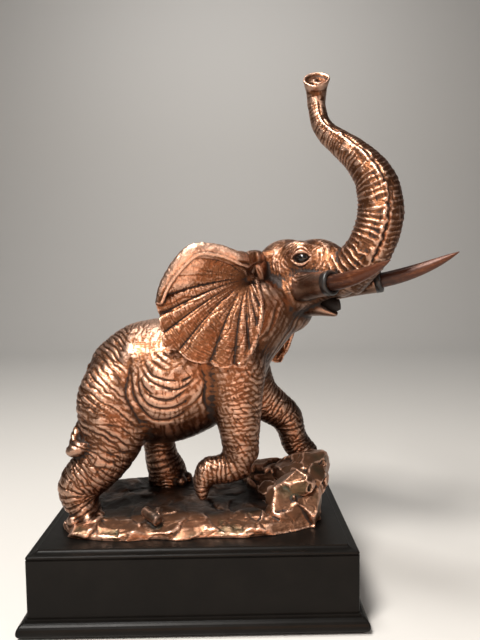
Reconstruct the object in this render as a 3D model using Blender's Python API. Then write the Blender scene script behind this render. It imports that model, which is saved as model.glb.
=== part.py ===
"""A cast elephant climbing a rock with its trunk raised, on a black moulded plinth.

Lengths are metres, +Z is up and +X is the way the animal walks. The origin is
the middle of the plinth's underside. The figure is modelled in its own drawing
units, about a millimetre each, with z = 0 on the plinth's top, and takes its
real size from FIGURE_HEIGHT.
"""

import math
import random

import bmesh
import bpy
import numpy as np
from mathutils import Matrix, Vector

PLINTH_LENGTH = 0.235
PLINTH_DEPTH = 0.160
PLINTH_HEIGHT = 0.060
PLINTH_CORNER = 0.0012
EDGE_INSET = 0.0077
EDGE_DROP = 0.0056
FOOT_PROJECTION = 0.0066
FOOT_HEIGHT = 0.0130

FIGURE_HEIGHT = 0.348
SEAT_GAP = 0.0003

TUSK_DIAMETER = 0.0118
TUSK_ROOT = 0.0070
TUSK_CLEARANCE = 0.0003
COLLAR_DIAMETER = 0.0186
COLLAR_LIP = 0.0013
COLLAR_RECESS = 0.0020

NOSTRIL_DIAMETER = 0.0036
NOSTRIL_DEPTH = 0.0060

# The drawing stands this tall, from the plinth's top to the rim of the trunk.
DRAWN_HEIGHT = 348.0
UNIT = FIGURE_HEIGHT / DRAWN_HEIGHT

HEAD_CENTRE = Vector((80.0, -2.0, 190.0))
HEAD_TURN = math.radians(35.0)

# Places on the head: forward of its centre, to the animal's left, and up.
TRUNK_NECK = (21, 0, 142)
TRUNK_TIP = (24, -5.5, 151)
RIGHT_COLLAR = (46, -27, -4)
RIGHT_ROOT = (16, -19, -7)
RIGHT_TIP = (95.5, -40, 11)
LEFT_COLLAR = (63, 25, -3)
LEFT_ROOT = (22, 18, -8)
LEFT_TIP = (119.5, 40, 18)
RIGHT_EAR = (-15.4, -42.5, 0)
LEFT_EAR = (-22, 26, -4)

TUSK_SAG = 5.0

FLESH_VOXEL = 2.2
SKIN_VOXEL = 1.5
CASTING_TRIANGLES = 7400

ACROSS_BODY = Vector((0.0, 1.0, 0.0))
ACROSS_HEAD = Vector((math.sin(HEAD_TURN), math.cos(HEAD_TURN), 0.0))
AHEAD = Vector((math.cos(HEAD_TURN), -math.sin(HEAD_TURN), 0.0))
UP = Vector((0.0, 0.0, 1.0))


def on_head(forward, left, up):
    """A point given from the head's centre, forward, to the animal's left and up."""
    return HEAD_CENTRE + AHEAD * forward + ACROSS_HEAD * left + UP * up


def head_rows(*stations):
    """Stations given on the head, each followed by its two half widths."""
    return [(*on_head(f, l, u), *widths) for f, l, u, *widths in stations]


def placed(point):
    """A point of the drawing as a point of the object, in metres."""
    return Vector(point) * UNIT + UP * PLINTH_HEIGHT


def figure_place():
    """The transform from the drawing to the object."""
    return Matrix.Translation(UP * PLINTH_HEIGHT) @ Matrix.Scale(UNIT, 4)


def smooth_rows(rows, per_span):
    """Rows read from a Catmull-Rom curve through the given rows."""
    rows = np.asarray(rows, dtype=float)
    ends = np.vstack([2 * rows[0] - rows[1], rows, 2 * rows[-1] - rows[-2]])
    found = []
    for a, b, c, d in zip(ends, ends[1:], ends[2:], ends[3:]):
        for t in np.arange(per_span) / per_span:
            bend = (2 * a - 5 * b + 4 * c - d) * t**2 + (3 * b - a - 3 * c + d) * t**3
            found.append(0.5 * (2 * b + (c - a) * t + bend))
    found.append(rows[-1])
    return found


def frames_along(rows, across):
    """Each row's centre, its half widths and the two directions of its ring."""
    centres = [Vector(row[:3]) for row in rows]
    frames = []
    for i, row in enumerate(rows):
        ahead = centres[min(i + 1, len(rows) - 1)] - centres[max(i - 1, 0)]
        ahead.normalize()
        side = (across - ahead * across.dot(ahead)).normalized()
        frames.append((centres[i], row[3], row[4], side.cross(ahead), side, ahead))
    return frames


class Clay:
    """Closed lumps pressed together, which fuse into one skin."""

    def __init__(self):
        self.bm = bmesh.new()

    def limb(self, rows, across=ACROSS_BODY, sides=24, per_span=5, section=None):
        """A tapering form through stations of centre and half widths in and across its plane."""
        frames = frames_along(smooth_rows(rows, per_span), across)
        rings = []
        for centre, inward, outward, normal, side, _ in frames:
            ring = []
            for k in range(sides):
                angle = math.tau * k / sides
                grow = section(angle) if section else 1.0
                offset = normal * inward * math.cos(angle) + side * outward * math.sin(angle)
                ring.append(self.bm.verts.new(centre + offset * grow))
            rings.append(ring)
        for lower, upper in zip(rings, rings[1:]):
            for k in range(sides):
                j = (k + 1) % sides
                self.bm.faces.new((lower[k], lower[j], upper[j], upper[k]))
        for ring, (centre, inward, outward, _, _, ahead), sign in (
            (rings[0], frames[0], -1.0),
            (rings[-1], frames[-1], 1.0),
        ):
            pole = self.bm.verts.new(centre + ahead * sign * 0.4 * min(inward, outward))
            for k in range(sides):
                corner = (ring[k], ring[(k + 1) % sides], pole)
                self.bm.faces.new(corner if sign > 0 else corner[::-1])

    def ball(self, centre, radii, turn=0.0, lean=0.0):
        """An ellipsoid, turned about Z and then leaned about Y."""
        place = Matrix.Translation(Vector(centre)) @ Matrix.Rotation(turn, 4, "Z")
        place = place @ Matrix.Rotation(lean, 4, "Y") @ Matrix.Diagonal((*radii, 1.0))
        bmesh.ops.create_icosphere(self.bm, subdivisions=3, radius=1.0, matrix=place)

    def head_ball(self, forward, left, up, radii):
        """An ellipsoid on the head, with its axes turned as the head is."""
        self.ball(on_head(forward, left, up), radii, turn=-HEAD_TURN)

    def stone(self, centre, radii, seed, corners=15, lean=0.0, turn=0.0):
        """A faceted stone, the hull of points scattered on an ellipsoid."""
        chance = random.Random(seed)
        place = Matrix.Translation(Vector(centre)) @ Matrix.Rotation(turn, 4, "Z")
        place = place @ Matrix.Rotation(lean, 4, "Y") @ Matrix.Diagonal((*radii, 1.0))
        verts = []
        for i in range(corners):
            # Even steps in height and in turn keep the corners spread over the stone.
            height = 1.0 - 2.0 * (i + 0.5) / corners
            spin = 2.399963 * i + chance.uniform(-0.35, 0.35)
            flat = math.sqrt(1.0 - height * height)
            reach = chance.uniform(0.92, 1.12)
            point = Vector((math.cos(spin) * flat, math.sin(spin) * flat, height)) * reach
            verts.append(self.bm.verts.new(place @ point))
        hull = bmesh.ops.convex_hull(self.bm, input=verts)
        spare = {item for item in hull["geom_interior"] if isinstance(item, bmesh.types.BMVert)}
        bmesh.ops.delete(self.bm, geom=list(spare), context="VERTS")

    def sheet(self, front, back):
        """A closed sheet between two grids of points, front and back."""
        faces = []
        for grid in (front, back):
            faces.append([[self.bm.verts.new(point) for point in row] for row in grid])
        top, under = faces
        rows = len(top) - 1
        columns = len(top[0]) - 1
        for i in range(rows):
            for j in range(columns):
                self.bm.faces.new((top[i][j], top[i][j + 1], top[i + 1][j + 1], top[i + 1][j]))
                self.bm.faces.new((under[i][j], under[i + 1][j], under[i + 1][j + 1], under[i][j + 1]))
            self.bm.faces.new((top[i][0], top[i + 1][0], under[i + 1][0], under[i][0]))
            self.bm.faces.new((top[i][-1], under[i][-1], under[i + 1][-1], top[i + 1][-1]))
        for j in range(columns):
            self.bm.faces.new((top[0][j], under[0][j], under[0][j + 1], top[0][j + 1]))
            self.bm.faces.new((top[-1][j], top[-1][j + 1], under[-1][j + 1], under[-1][j]))

    def add(self, mesh):
        """A finished skin pressed in with the lumps."""
        self.bm.from_mesh(mesh)

    def fused(self, voxel, passes):
        """The lumps as one skin, smoothed so many times."""
        mesh = bpy.data.meshes.new("clay")
        self.bm.normal_update()
        self.bm.to_mesh(mesh)
        self.bm.free()
        return shaped(
            mesh,
            ("REMESH", {"mode": "VOXEL", "voxel_size": voxel}),
            ("SMOOTH", {"factor": 0.5, "iterations": passes}),
        )


def shaped(mesh, *steps):
    """The mesh after these modifiers, each given by its kind and settings."""
    helper = bpy.data.objects.new("helper", mesh)
    bpy.context.scene.collection.objects.link(helper)
    for kind, settings in steps:
        modifier = helper.modifiers.new(kind.title(), kind)
        for name, value in settings.items():
            setattr(modifier, name, value)
    graph = bpy.context.evaluated_depsgraph_get()
    result = bpy.data.meshes.new_from_object(helper.evaluated_get(graph))
    bpy.data.objects.remove(helper)
    return result


def largest_body(mesh):
    """Leaves the mesh with only its largest closed body."""
    bm = bmesh.new()
    bm.from_mesh(mesh)
    unseen = set(bm.verts)
    bodies = []
    while unseen:
        reached = [unseen.pop()]
        body = []
        while reached:
            vert = reached.pop()
            body.append(vert)
            for edge in vert.link_edges:
                other = edge.other_vert(vert)
                if other in unseen:
                    unseen.remove(other)
                    reached.append(other)
        bodies.append(body)
    bodies.sort(key=len)
    for body in bodies[:-1]:
        bmesh.ops.delete(bm, geom=body, context="VERTS")
    bm.to_mesh(mesh)
    bm.free()
    return mesh


def torso(clay):
    """Rump, barrel, chest and neck, with the belly and the hips."""
    clay.limb(
        [
            (-77, -2, 100, 25, 22),
            (-66, -1, 104, 38, 33),
            (-49, 0, 106.5, 48.5, 40),
            (-25, 0, 108, 51.5, 44),
            (0, 0, 115, 47, 43),
            (20, 0, 127, 41, 40),
            (34, 0, 144, 35, 37),
            (53, -1, 165, 33, 33),
            (66, -2, 181, 28, 28),
        ],
        sides=32,
    )
    clay.ball((-25, 0, 103), (47, 46, 46.5), lean=-0.12)
    for side in (-1, 1):
        clay.ball((-62, side * 18, 92), (28, 22, 38))
        clay.ball((30, side * 18, 122), (24, 20, 34))


def right_hind_leg(clay):
    """The right hind leg, pushed back with its heel raised."""
    clay.limb(
        [
            (-51, -12, 116, 26, 16),
            (-61, -23, 100, 31, 22),
            (-63, -27, 78, 29, 20),
            (-68, -29, 60, 23.5, 17),
            (-79, -31, 44, 20, 15.5),
            (-91, -32, 32, 16.5, 14.5),
            (-90, -32, 21, 14, 15),
            (-85, -33, 12, 12, 15),
            (-82, -34, 5, 10, 14.5),
        ]
    )


def left_hind_leg(clay):
    """The left hind leg, a straight column under the belly."""
    clay.limb(
        [
            (-45, 18, 95, 30, 20),
            (-38, 22, 70, 20, 17),
            (-35, 24, 50, 14.5, 14),
            (-33, 25, 35, 15, 14.5),
            (-29, 26, 24, 17.5, 16),
            (-28, 26, 10, 18, 16.5),
        ]
    )


def right_fore_leg(clay):
    """The right foreleg, with the knee bent and the foot hanging behind it."""
    clay.limb(
        [
            (22, -16, 152, 24, 20),
            (29, -24, 124, 27, 21),
            (32, -28, 98, 21.5, 19),
            (34, -30, 78, 17.5, 17),
            (35, -31, 62, 15, 15),
            (36, -31, 50, 14, 14),
        ]
    )
    clay.limb(
        [
            (38, -31, 49, 13.5, 14),
            (25, -31, 43, 12, 12.5),
            (14, -31, 42, 11.5, 11.5),
            (6, -31, 42, 11, 11.5),
        ]
    )
    clay.limb([(9, -31, 45, 9.5, 12), (5, -31, 33, 8, 11.5), (5, -32, 24, 5.5, 9.5), (6, -32, 19, 3.5, 7)])


def left_fore_leg(clay):
    """The left foreleg, stepping up on the boulder."""
    clay.limb(
        [
            (36, 12, 110, 28, 20),
            (50, 16, 91, 20, 17),
            (63, 19, 81, 16.5, 15.5),
            (75, 21, 71, 14.5, 14.5),
            (79, 21, 60, 12.5, 13.5),
            (82, 21, 50, 12.5, 13),
            (88, 21, 42, 12.5, 13),
            (94, 20, 35, 12.5, 13),
        ]
    )


def head(clay):
    """Skull, forehead, cheeks and the roots of the trunk and tusks."""
    clay.head_ball(-6, 0, 7, (27, 25, 25))
    clay.head_ball(20, 0, 12, (26, 19, 19))
    clay.head_ball(10, 0, -8, (26, 21, 20))
    clay.limb([(66, 2, 176, 30, 27), (76, 0, 167, 24, 23), (88, -8, 166, 16, 17)])
    clay.limb(head_rows((12, 0, 2, 22, 20), (30, 0, 2, 20.5, 19), (48, 0, 4, 18, 17.5)), ACROSS_HEAD)
    for side in (-1, 1):
        clay.head_ball(6, side * 15, -12, (20, 11, 16))
        clay.head_ball(12, side * 14, 19, (15, 9, 11))
        clay.head_ball(17, side * 19.5, 15, (5.5, 4.2, 4.4))


def trunk_section(angle):
    """How far the trunk's ring stands out: flatter in front, with an edge on each side."""
    from_front = abs((angle + math.pi) % math.tau - math.pi)
    edge = math.exp(-(((from_front - math.radians(58)) / 0.24) ** 2))
    flat = math.exp(-((from_front / 0.75) ** 2))
    return 1.0 + 0.055 * edge - 0.075 * flat


def trunk(clay):
    """The trunk, raised in an S with its open tip at the top."""
    clay.limb(
        head_rows(
            (44, 0, -2, 17.5, 17.5),
            (56, 0, 10, 17.4, 17.3),
            (66, 0, 22, 17.4, 17.2),
            (72, 0, 37, 17.3, 17.0),
            (74, 0, 51, 17.0, 16.6),
            (70, 0, 70, 15.4, 15.2),
            (58, 0, 87, 12.8, 12.7),
            (42, 0, 101, 10.3, 10.2),
            (32, 0, 109, 8.9, 8.8),
            (25, 0, 118, 7.7, 7.7),
            (22, 0, 128, 7.1, 7.1),
            (21, 0, 135, 7.2, 7.2),
            (*TRUNK_NECK, 7.9, 8.1),
            (22, -2, 147, 9.0, 9.4),
            (*TRUNK_TIP, 10.2, 10.8),
        ),
        ACROSS_HEAD,
        section=trunk_section,
    )


def jaw(clay):
    """The short lower jaw, which points down to its lip."""
    clay.limb(
        head_rows(
            (2, 0, -18, 18, 18),
            (14, 0, -20, 12.5, 14),
            (22, 0, -22.5, 8.5, 10.5),
            (30, -0.5, -25.5, 5.2, 7.5),
            (38, -1, -28.5, 2.2, 3),
        ),
        ACROSS_HEAD,
    )


def ear_grid(hub, side, low, columns=90, rings=18):
    """Front and back points of an ear, spread in pleats from its hub."""
    outline = (
        (-24, 22), (9, 19), (34, 23), (47, 31.5), (56, 44.5), (63, 50.5), (78, 57), (93, 65),
        (101, 71), (115, 73), (127, 80), (136, 76), (146, 73), (167, 67), (177, 65),
        (181, 55), (186, 44), (198, 29), (209, 18), (217, 12),
    )
    angles = [math.radians(angle) for angle, _ in outline]
    reaches = [reach for _, reach in outline]
    front = []
    back = []
    for angle in np.linspace(angles[0], angles[-1], columns):
        reach = float(np.interp(angle, angles, reaches))
        out = Vector((-math.sin(angle), 0.0, math.cos(angle)))
        fold = math.cos((angle - math.radians(118)) * 360 / 13.5)
        stand = float(np.interp(math.degrees(angle), (-24, 20, 60, 175, 217), (-0.45, 0.4, 1, 1, 0.2)))
        fan = 1.0 / (1.0 + math.exp(-(math.degrees(angle) - 106) * 0.8))
        front_row = []
        back_row = []
        for share in np.linspace(0.08, 1.0, rings):
            swell = 16.0 * stand * share**0.7 + 2.0 * math.sin(math.pi * share)
            pleat = share * (2.3 * fan * fold + 4.0 * (1.0 - fan))
            drop = low * share * max(0.0, -math.cos(angle))
            centre = hub + out * reach * share - UP * drop
            depth = swell + pleat
            thick = 2.5 - 0.5 * share
            front_row.append(centre + Vector((0, side * (depth + thick), 0)))
            back_row.append(centre + Vector((0, side * (depth - thick), 0)))
        front.append(front_row)
        back.append(back_row)
    return front, back


def ear(clay, hub, side, low):
    """One ear: its pleated sheet, its rolled upper rim and its root on the head."""
    front, back = ear_grid(hub, side, low)
    if side > 0:
        clay.sheet(front, back)
    else:
        clay.sheet(back, front)
    rim = []
    for i in range(0, 48, 4):
        middle = (front[i][-1] + back[i][-1]) * 0.5
        inward = (front[i][-3] - front[i][-1]).normalized()
        size = np.interp(i, (0, 20, 32, 47), (5.2, 5.0, 4.2, 2.8))
        rim.append((*(middle + inward * size * 0.8 + Vector((0, side * 1.8, 0))), size, size))
    clay.limb(rim, across=Vector((0, 1, 0)), sides=12, per_span=2)
    lobe = []
    for i in range(88, 72, -3):
        middle = (front[i][-1] + back[i][-1]) * 0.5
        inward = (front[i][-3] - front[i][-1]).normalized()
        lobe.append((*(middle + inward * 2.0 + Vector((0, side * 0.8, 0))), 2.9, 2.9))
    clay.limb(lobe, across=Vector((0, 1, 0)), sides=12, per_span=2)
    clay.limb(
        [
            (*on_head(-8, side * 13, 2), 12, 20),
            (*on_head(-17, side * 21, 2), 9, 20),
            (*(hub + Vector((6, side * 1, -1))), 6, 15),
            (*(hub + Vector((-4, side * 4, -2))), 4, 9),
        ],
        across=UP,
    )
    clay.limb([rim[0], (*on_head(-10, side * 14, 19), 7, 7)], sides=12)


def toes(clay):
    """Toenails, which show as low domes on the front of each foot."""
    for centre, radius in (
        ((-92, -43, 8), 6.0), ((-81, -44, 9), 5.5), ((-75, -36, 9), 5.0),
        ((-16, 15, 18), 5.5), ((-12, 26, 17), 5.5), ((-17, 37, 17), 5.0),
        ((100, 11, 35), 5.0), ((104, 20, 34), 5.0), ((100, 29, 35), 5.0),
    ):
        clay.ball(centre, (radius, radius, radius))


def tail(clay):
    """The tail, laid along the rump, with its brush curled up."""
    clay.limb(
        [
            (-86, -4, 122, 4, 4),
            (-91, -12, 102, 3.6, 3.6),
            (-92, -21, 84, 3.4, 3.4),
            (-95, -31, 72, 3.6, 3.6),
            (-93, -37, 64, 4.5, 4.5),
        ],
        sides=12,
    )
    clay.ball((-88.5, -40, 63), (9.5, 8, 6.5), lean=-0.3)


def sheath(clay, collar, root):
    """The sleeve of skin that a tusk grows from, ending at its collar."""
    radius = COLLAR_DIAMETER / UNIT / 2
    middle = tuple((a + b) / 2 for a, b in zip(collar, root))
    clay.limb(
        head_rows(
            (*root, radius * 1.25, radius * 1.15),
            (*middle, radius * 1.06, radius * 1.03),
            (*collar, radius, radius),
        ),
        ACROSS_HEAD,
    )


def ground(clay):
    """The slab of ground, with an uneven edge and a ridge at the back."""
    outline = (
        (-99, -38), (-91, -48), (-75, -59), (-55, -63), (-35, -60), (-12, -63), (10, -58),
        (35, -60), (58, -55), (76, -52), (88, -44), (97, -12), (98, 15), (89, 38), (66, 48),
        (40, 50), (12, 46), (-14, 52), (-42, 49), (-62, 51), (-82, 41), (-96, 15), (-101, -15),
    )
    chance = random.Random(11)
    levels = ((-6, 0.99), (2, 1.02), (6, 1.0), (9, 0.93), (11, 0.8), (12.5, 0.55), (13.5, 0.25))
    rings = []
    for height, share in levels:
        ring = []
        for x, y in outline:
            wander = chance.uniform(-0.018, 0.018)
            rise = 0.0 if height < 6 else chance.uniform(-1.2, 1.2) + y * 0.035 * share
            ring.append(clay.bm.verts.new((x * (share + wander), y * (share + wander), height + rise)))
        rings.append(ring)
    count = len(outline)
    for lower, upper in zip(rings, rings[1:]):
        for k in range(count):
            j = (k + 1) % count
            clay.bm.faces.new((lower[k], lower[j], upper[j], upper[k]))
    clay.bm.faces.new(rings[0][::-1])
    clay.bm.faces.new(rings[-1])


def rocks(clay):
    """The boulder under the raised forefoot and the smaller stones round it."""
    for centre, radii, seed, corners, lean, turn in (
        ((86, -5, 32), (24, 31, 14), 3, 18, -0.25, 0.2),
        ((100, -2, 37), (11, 16, 12), 29, 14, 0.0, 0.0),
        ((58, -20, 20), (10, 10, 10), 31, 12, 0.0, 0.0),
        ((93, 8, 20), (16, 22, 17), 5, 15, 0.1, 0.0),
        ((72, -37, 11), (19, 15, 16), 7, 15, 0.0, 0.4),
        ((89, -30, 11), (13, 18, 15), 9, 14, 0.2, -0.3),
        ((58, 18, 17), (25, 28, 19), 13, 16, 0.0, 0.0),
        ((85, 22, 17), (20, 25, 20), 15, 16, 0.0, 0.5),
        ((-30, 30, 6), (26, 20, 8), 17, 16, 0.0, 0.0),
        ((-66, 24, 7), (26, 24, 10), 19, 15, 0.0, 0.3),
        ((-85, -34, 2), (20, 22, 8), 21, 15, 0.0, 0.0),
        ((5, 12, 7), (30, 28, 9), 23, 16, 0.0, 0.0),
        ((42, -38, 6), (17, 15, 8), 25, 14, 0.0, 0.3),
        ((-78, -47, 3), (20, 14, 8), 27, 14, 0.0, 0.5),
        ((-47, -53, 2), (16, 11, 7.5), 33, 13, 0.0, 0.0),
        ((-17, -54, 2), (15, 10, 7), 35, 13, 0.0, 0.2),
        ((12, -49, 3), (15, 10, 6.5), 37, 13, 0.0, -0.2),
        ((40, -51, 3), (14, 10, 7), 39, 13, 0.0, 0.0),
        ((-20, -32, 10), (16, 10, 5), 41, 13, 0.0, 0.4),
    ):
        clay.stone(centre, radii, seed, corners, lean, turn)
    clay.limb([(-37, -47, 17, 4.2, 4.2), (-27, -56, 12.5, 4.4, 4.4)], sides=10, per_span=2)


def tusk_axis(collar, tip):
    """A tusk's collar centre, first direction and curve of centres, in metres."""
    start = placed(on_head(*collar))
    end = placed(on_head(*tip))
    bend = (start + end) / 2 - UP * TUSK_SAG * UNIT
    points = []
    for t in np.linspace(0.0, 1.0, 14):
        points.append(start * (1 - t) ** 2 + bend * 2 * t * (1 - t) + end * t**2)
    return start, (bend - start).normalized(), points


def material(name, colour, roughness, metallic):
    """A plain finish for one piece."""
    made = bpy.data.materials.new(name)
    made.use_nodes = True
    shader = made.node_tree.nodes["Principled BSDF"]
    shader.inputs["Base Color"].default_value = (*colour, 1.0)
    shader.inputs["Roughness"].default_value = roughness
    shader.inputs["Metallic"].default_value = metallic
    return made


def piece(name, mesh, finish, sharp=math.radians(35)):
    """A named object of the model, shaded smooth but for its sharp edges."""
    obj = bpy.data.objects.new(name, mesh)
    bpy.context.scene.collection.objects.link(obj)
    mesh.materials.clear()
    mesh.materials.append(finish)
    mesh.shade_smooth()
    mesh.set_sharp_from_angle(angle=sharp)
    return obj


def mesh_of(bm, name):
    """A mesh from a finished bmesh, with its faces facing out."""
    bmesh.ops.recalc_face_normals(bm, faces=bm.faces)
    mesh = bpy.data.meshes.new(name)
    bm.to_mesh(mesh)
    bm.free()
    return mesh


def cut(obj, bm, name):
    """Cuts a closed form out of an object."""
    cutter = bpy.data.objects.new(name, mesh_of(bm, name))
    bpy.context.scene.collection.objects.link(cutter)
    cutter.hide_render = True
    cutter.display_type = "WIRE"
    boolean = obj.modifiers.new(name, "BOOLEAN")
    boolean.operation = "DIFFERENCE"
    boolean.solver = "EXACT"
    boolean.object = cutter


def rod(start, end, radius, sides=20):
    """A straight round bar between two points."""
    bm = bmesh.new()
    along = end - start
    place = Matrix.Translation((start + end) / 2) @ along.to_track_quat("Z", "Y").to_matrix().to_4x4()
    bmesh.ops.create_cone(
        bm,
        cap_ends=True,
        segments=sides,
        radius1=radius,
        radius2=radius,
        depth=along.length,
        matrix=place,
    )
    return bm


def mouth():
    """The hollow of the open mouth, between the jaw and the roots of the tusks."""
    hollow = Clay()
    hollow.limb(
        head_rows(
            (2, -1, -17, 4, 6),
            (12, -1, -18, 6.5, 8),
            (22, -1, -19, 7.2, 8),
            (31, -1, -20.5, 7.4, 5.8),
            (43, -1, -20, 9, 5),
        ),
        ACROSS_HEAD,
        sides=16,
        per_span=2,
    )
    bmesh.ops.transform(hollow.bm, matrix=figure_place(), verts=hollow.bm.verts)
    return hollow.bm


def cut_trunk_tip(obj):
    """Hollows the trunk's tip and sinks the two nostrils in it."""
    tip = on_head(*TRUNK_TIP)
    facing = (tip - on_head(*TRUNK_NECK)).normalized()
    side = (ACROSS_HEAD - facing * ACROSS_HEAD.dot(facing)).normalized()
    dish = bmesh.new()
    turned = facing.to_track_quat("Z", "Y").to_matrix().to_4x4()
    place = figure_place() @ Matrix.Translation(tip + facing * 3.4) @ turned
    bmesh.ops.create_icosphere(
        dish, subdivisions=2, radius=1.0, matrix=place @ Matrix.Diagonal((8.4, 8.8, 5.2, 1.0))
    )
    cut(obj, dish, "trunk_dish")
    for name, way in (("right", -1), ("left", 1)):
        middle = placed(tip + side * way * 3.2)
        start = middle - facing * NOSTRIL_DEPTH
        cut(obj, rod(start, middle + facing * NOSTRIL_DEPTH, NOSTRIL_DIAMETER / 2, 8), f"nostril_{name}")


def casting():
    """The elephant, the ground and the rocks, cast as one."""
    flesh = Clay()
    torso(flesh)
    right_hind_leg(flesh)
    left_hind_leg(flesh)
    right_fore_leg(flesh)
    left_fore_leg(flesh)
    head(flesh)
    body = flesh.fused(FLESH_VOXEL, 14)

    skin = Clay()
    skin.add(body)
    trunk(skin)
    jaw(skin)
    sheath(skin, RIGHT_COLLAR, RIGHT_ROOT)
    sheath(skin, LEFT_COLLAR, LEFT_ROOT)
    ear(skin, on_head(*RIGHT_EAR), -1, 0.0)
    ear(skin, on_head(*LEFT_EAR), 1, 6.0)
    toes(skin)
    tail(skin)
    ground(skin)
    rocks(skin)
    mesh = largest_body(skin.fused(SKIN_VOXEL, 4))
    mesh = shaped(mesh, ("TRIANGULATE", {}))
    share = CASTING_TRIANGLES / len(mesh.polygons)
    mesh = shaped(mesh, ("DECIMATE", {"decimate_type": "COLLAPSE", "ratio": share}))
    mesh.transform(figure_place())

    bronze = material("copper bronze", (0.45, 0.21, 0.11), 0.34, 0.9)
    obj = piece("elephant_and_rock", mesh, bronze, sharp=math.radians(60))
    floor = bmesh.new()
    deep = PLINTH_HEIGHT
    place = Matrix.Translation(UP * (PLINTH_HEIGHT + SEAT_GAP - deep / 2))
    bmesh.ops.create_cube(
        floor, size=1.0, matrix=place @ Matrix.Diagonal((2 * FIGURE_HEIGHT, 2 * FIGURE_HEIGHT, deep, 1.0))
    )
    cut(obj, floor, "seat")
    cut(obj, mouth(), "mouth")
    cut_trunk_tip(obj)
    for name, collar, tip in (("right", RIGHT_COLLAR, RIGHT_TIP), ("left", LEFT_COLLAR, LEFT_TIP)):
        start, ahead, _ = tusk_axis(collar, tip)
        depth = TUSK_ROOT + TUSK_CLEARANCE
        beyond = start + ahead * COLLAR_DIAMETER
        recess = rod(start - ahead * COLLAR_RECESS, beyond, COLLAR_DIAMETER / 2 - COLLAR_LIP)
        cut(obj, recess, f"collar_{name}")
        inner = start - ahead * (COLLAR_RECESS + depth)
        cut(obj, rod(inner, beyond, TUSK_DIAMETER / 2 + TUSK_CLEARANCE), f"socket_{name}")
    return obj


def tusk(name, collar, tip):
    """A tusk, a curved tapering horn whose root stands in its socket."""
    start, ahead, points = tusk_axis(collar, tip)
    radius = TUSK_DIAMETER / 2
    rows = [(*(start - ahead * (COLLAR_RECESS + TUSK_ROOT)), radius)]
    for i, point in enumerate(points):
        share = i / (len(points) - 1)
        rows.append((*point, radius * max(0.09, (1.0 - share**2.2) ** 0.75)))
    bm = bmesh.new()
    sides = 14
    frames = frames_along([(*row, row[3]) for row in rows], ACROSS_HEAD)
    rings = []
    for centre, size, _, normal, side, _ in frames:
        ring = []
        for k in range(sides):
            angle = math.tau * k / sides
            ring.append(bm.verts.new(centre + (normal * math.cos(angle) + side * math.sin(angle)) * size))
        rings.append(ring)
    for lower, upper in zip(rings, rings[1:]):
        for k in range(sides):
            j = (k + 1) % sides
            bm.faces.new((lower[k], lower[j], upper[j], upper[k]))
    bm.faces.new(rings[0])
    bm.faces.new(rings[-1])
    return piece(name, mesh_of(bm, name), material(name, (0.29, 0.07, 0.018), 0.4, 0.3))


def arc(centre, radii, start, end, steps):
    """Points of an elliptical arc, as outset and height, with its angles in degrees."""
    points = []
    for i in range(steps + 1):
        angle = math.radians(start + (end - start) * i / steps)
        points.append((centre[0] + radii[0] * math.cos(angle), centre[1] + radii[1] * math.sin(angle)))
    return points


def plinth_profile():
    """The plinth's moulded side from its foot up, as outset and height."""
    foot_round = FOOT_HEIGHT * 0.86
    belly = FOOT_HEIGHT * 0.38
    profile = arc((0, belly), (FOOT_PROJECTION, belly), -62, 0, 4)
    profile[0] = (profile[0][0], 0.0)
    step = FOOT_PROJECTION * 0.2
    profile += arc((step, belly), (FOOT_PROJECTION - step, foot_round - belly), 15, 90, 5)
    profile += [(step, FOOT_HEIGHT), (0, FOOT_HEIGHT)]
    top = PLINTH_HEIGHT
    rise = EDGE_DROP
    profile += [(0, top - rise), (-EDGE_INSET * 0.10, top - rise), (-EDGE_INSET * 0.10, top - rise * 0.9)]
    bead = EDGE_INSET * 0.14
    profile += arc((-bead, top - rise * 0.66), (bead, rise * 0.22), -80, 80, 6)
    cove = (EDGE_INSET * 0.62, rise * 0.34)
    profile += arc((-EDGE_INSET * 0.24, top - rise * 0.08), cove, 260, 184, 6)
    profile += [(-EDGE_INSET * 0.88, top)]
    return profile


def plinth():
    """The black wooden plinth, its moulding carried round all four sides."""
    bm = bmesh.new()
    rings = []
    for outset, height in plinth_profile():
        ring = []
        half_x = PLINTH_LENGTH / 2 + outset - PLINTH_CORNER
        half_y = PLINTH_DEPTH / 2 + outset - PLINTH_CORNER
        for corner, (sx, sy) in enumerate(((1, 1), (-1, 1), (-1, -1), (1, -1))):
            for step in range(3):
                angle = math.radians(90 * corner + 45 * step)
                x = sx * half_x + PLINTH_CORNER * math.cos(angle)
                y = sy * half_y + PLINTH_CORNER * math.sin(angle)
                ring.append(bm.verts.new((x, y, height)))
        rings.append(ring)
    count = len(rings[0])
    for lower, upper in zip(rings, rings[1:]):
        for k in range(count):
            j = (k + 1) % count
            bm.faces.new((lower[k], lower[j], upper[j], upper[k]))
    bm.faces.new(rings[0][::-1])
    bm.faces.new(rings[-1])
    lacquer = material("black lacquer", (0.012, 0.011, 0.010), 0.3, 0.0)
    return piece("plinth", mesh_of(bm, "plinth"), lacquer)


def main():
    """Clears the scene and makes the four pieces."""
    for obj in list(bpy.data.objects):
        bpy.data.objects.remove(obj)
    plinth()
    casting()
    tusk("tusk_right", RIGHT_COLLAR, RIGHT_TIP)
    tusk("tusk_left", LEFT_COLLAR, LEFT_TIP)


main()
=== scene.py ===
"""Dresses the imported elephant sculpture: cast copper on a rock, with a black moulded plinth.

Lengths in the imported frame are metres. The casting is drawn in units of about a
millimetre, with z = 0 on the plinth's top, +X the way the animal walks and +Y to
its left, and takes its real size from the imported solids.
"""

from __future__ import annotations

import logging
import math
import random
from collections.abc import Callable, Sequence
from dataclasses import dataclass, field
from enum import Enum
from itertools import product

import bmesh
import bpy
import numpy as np
from mathutils import Matrix, Vector


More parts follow.
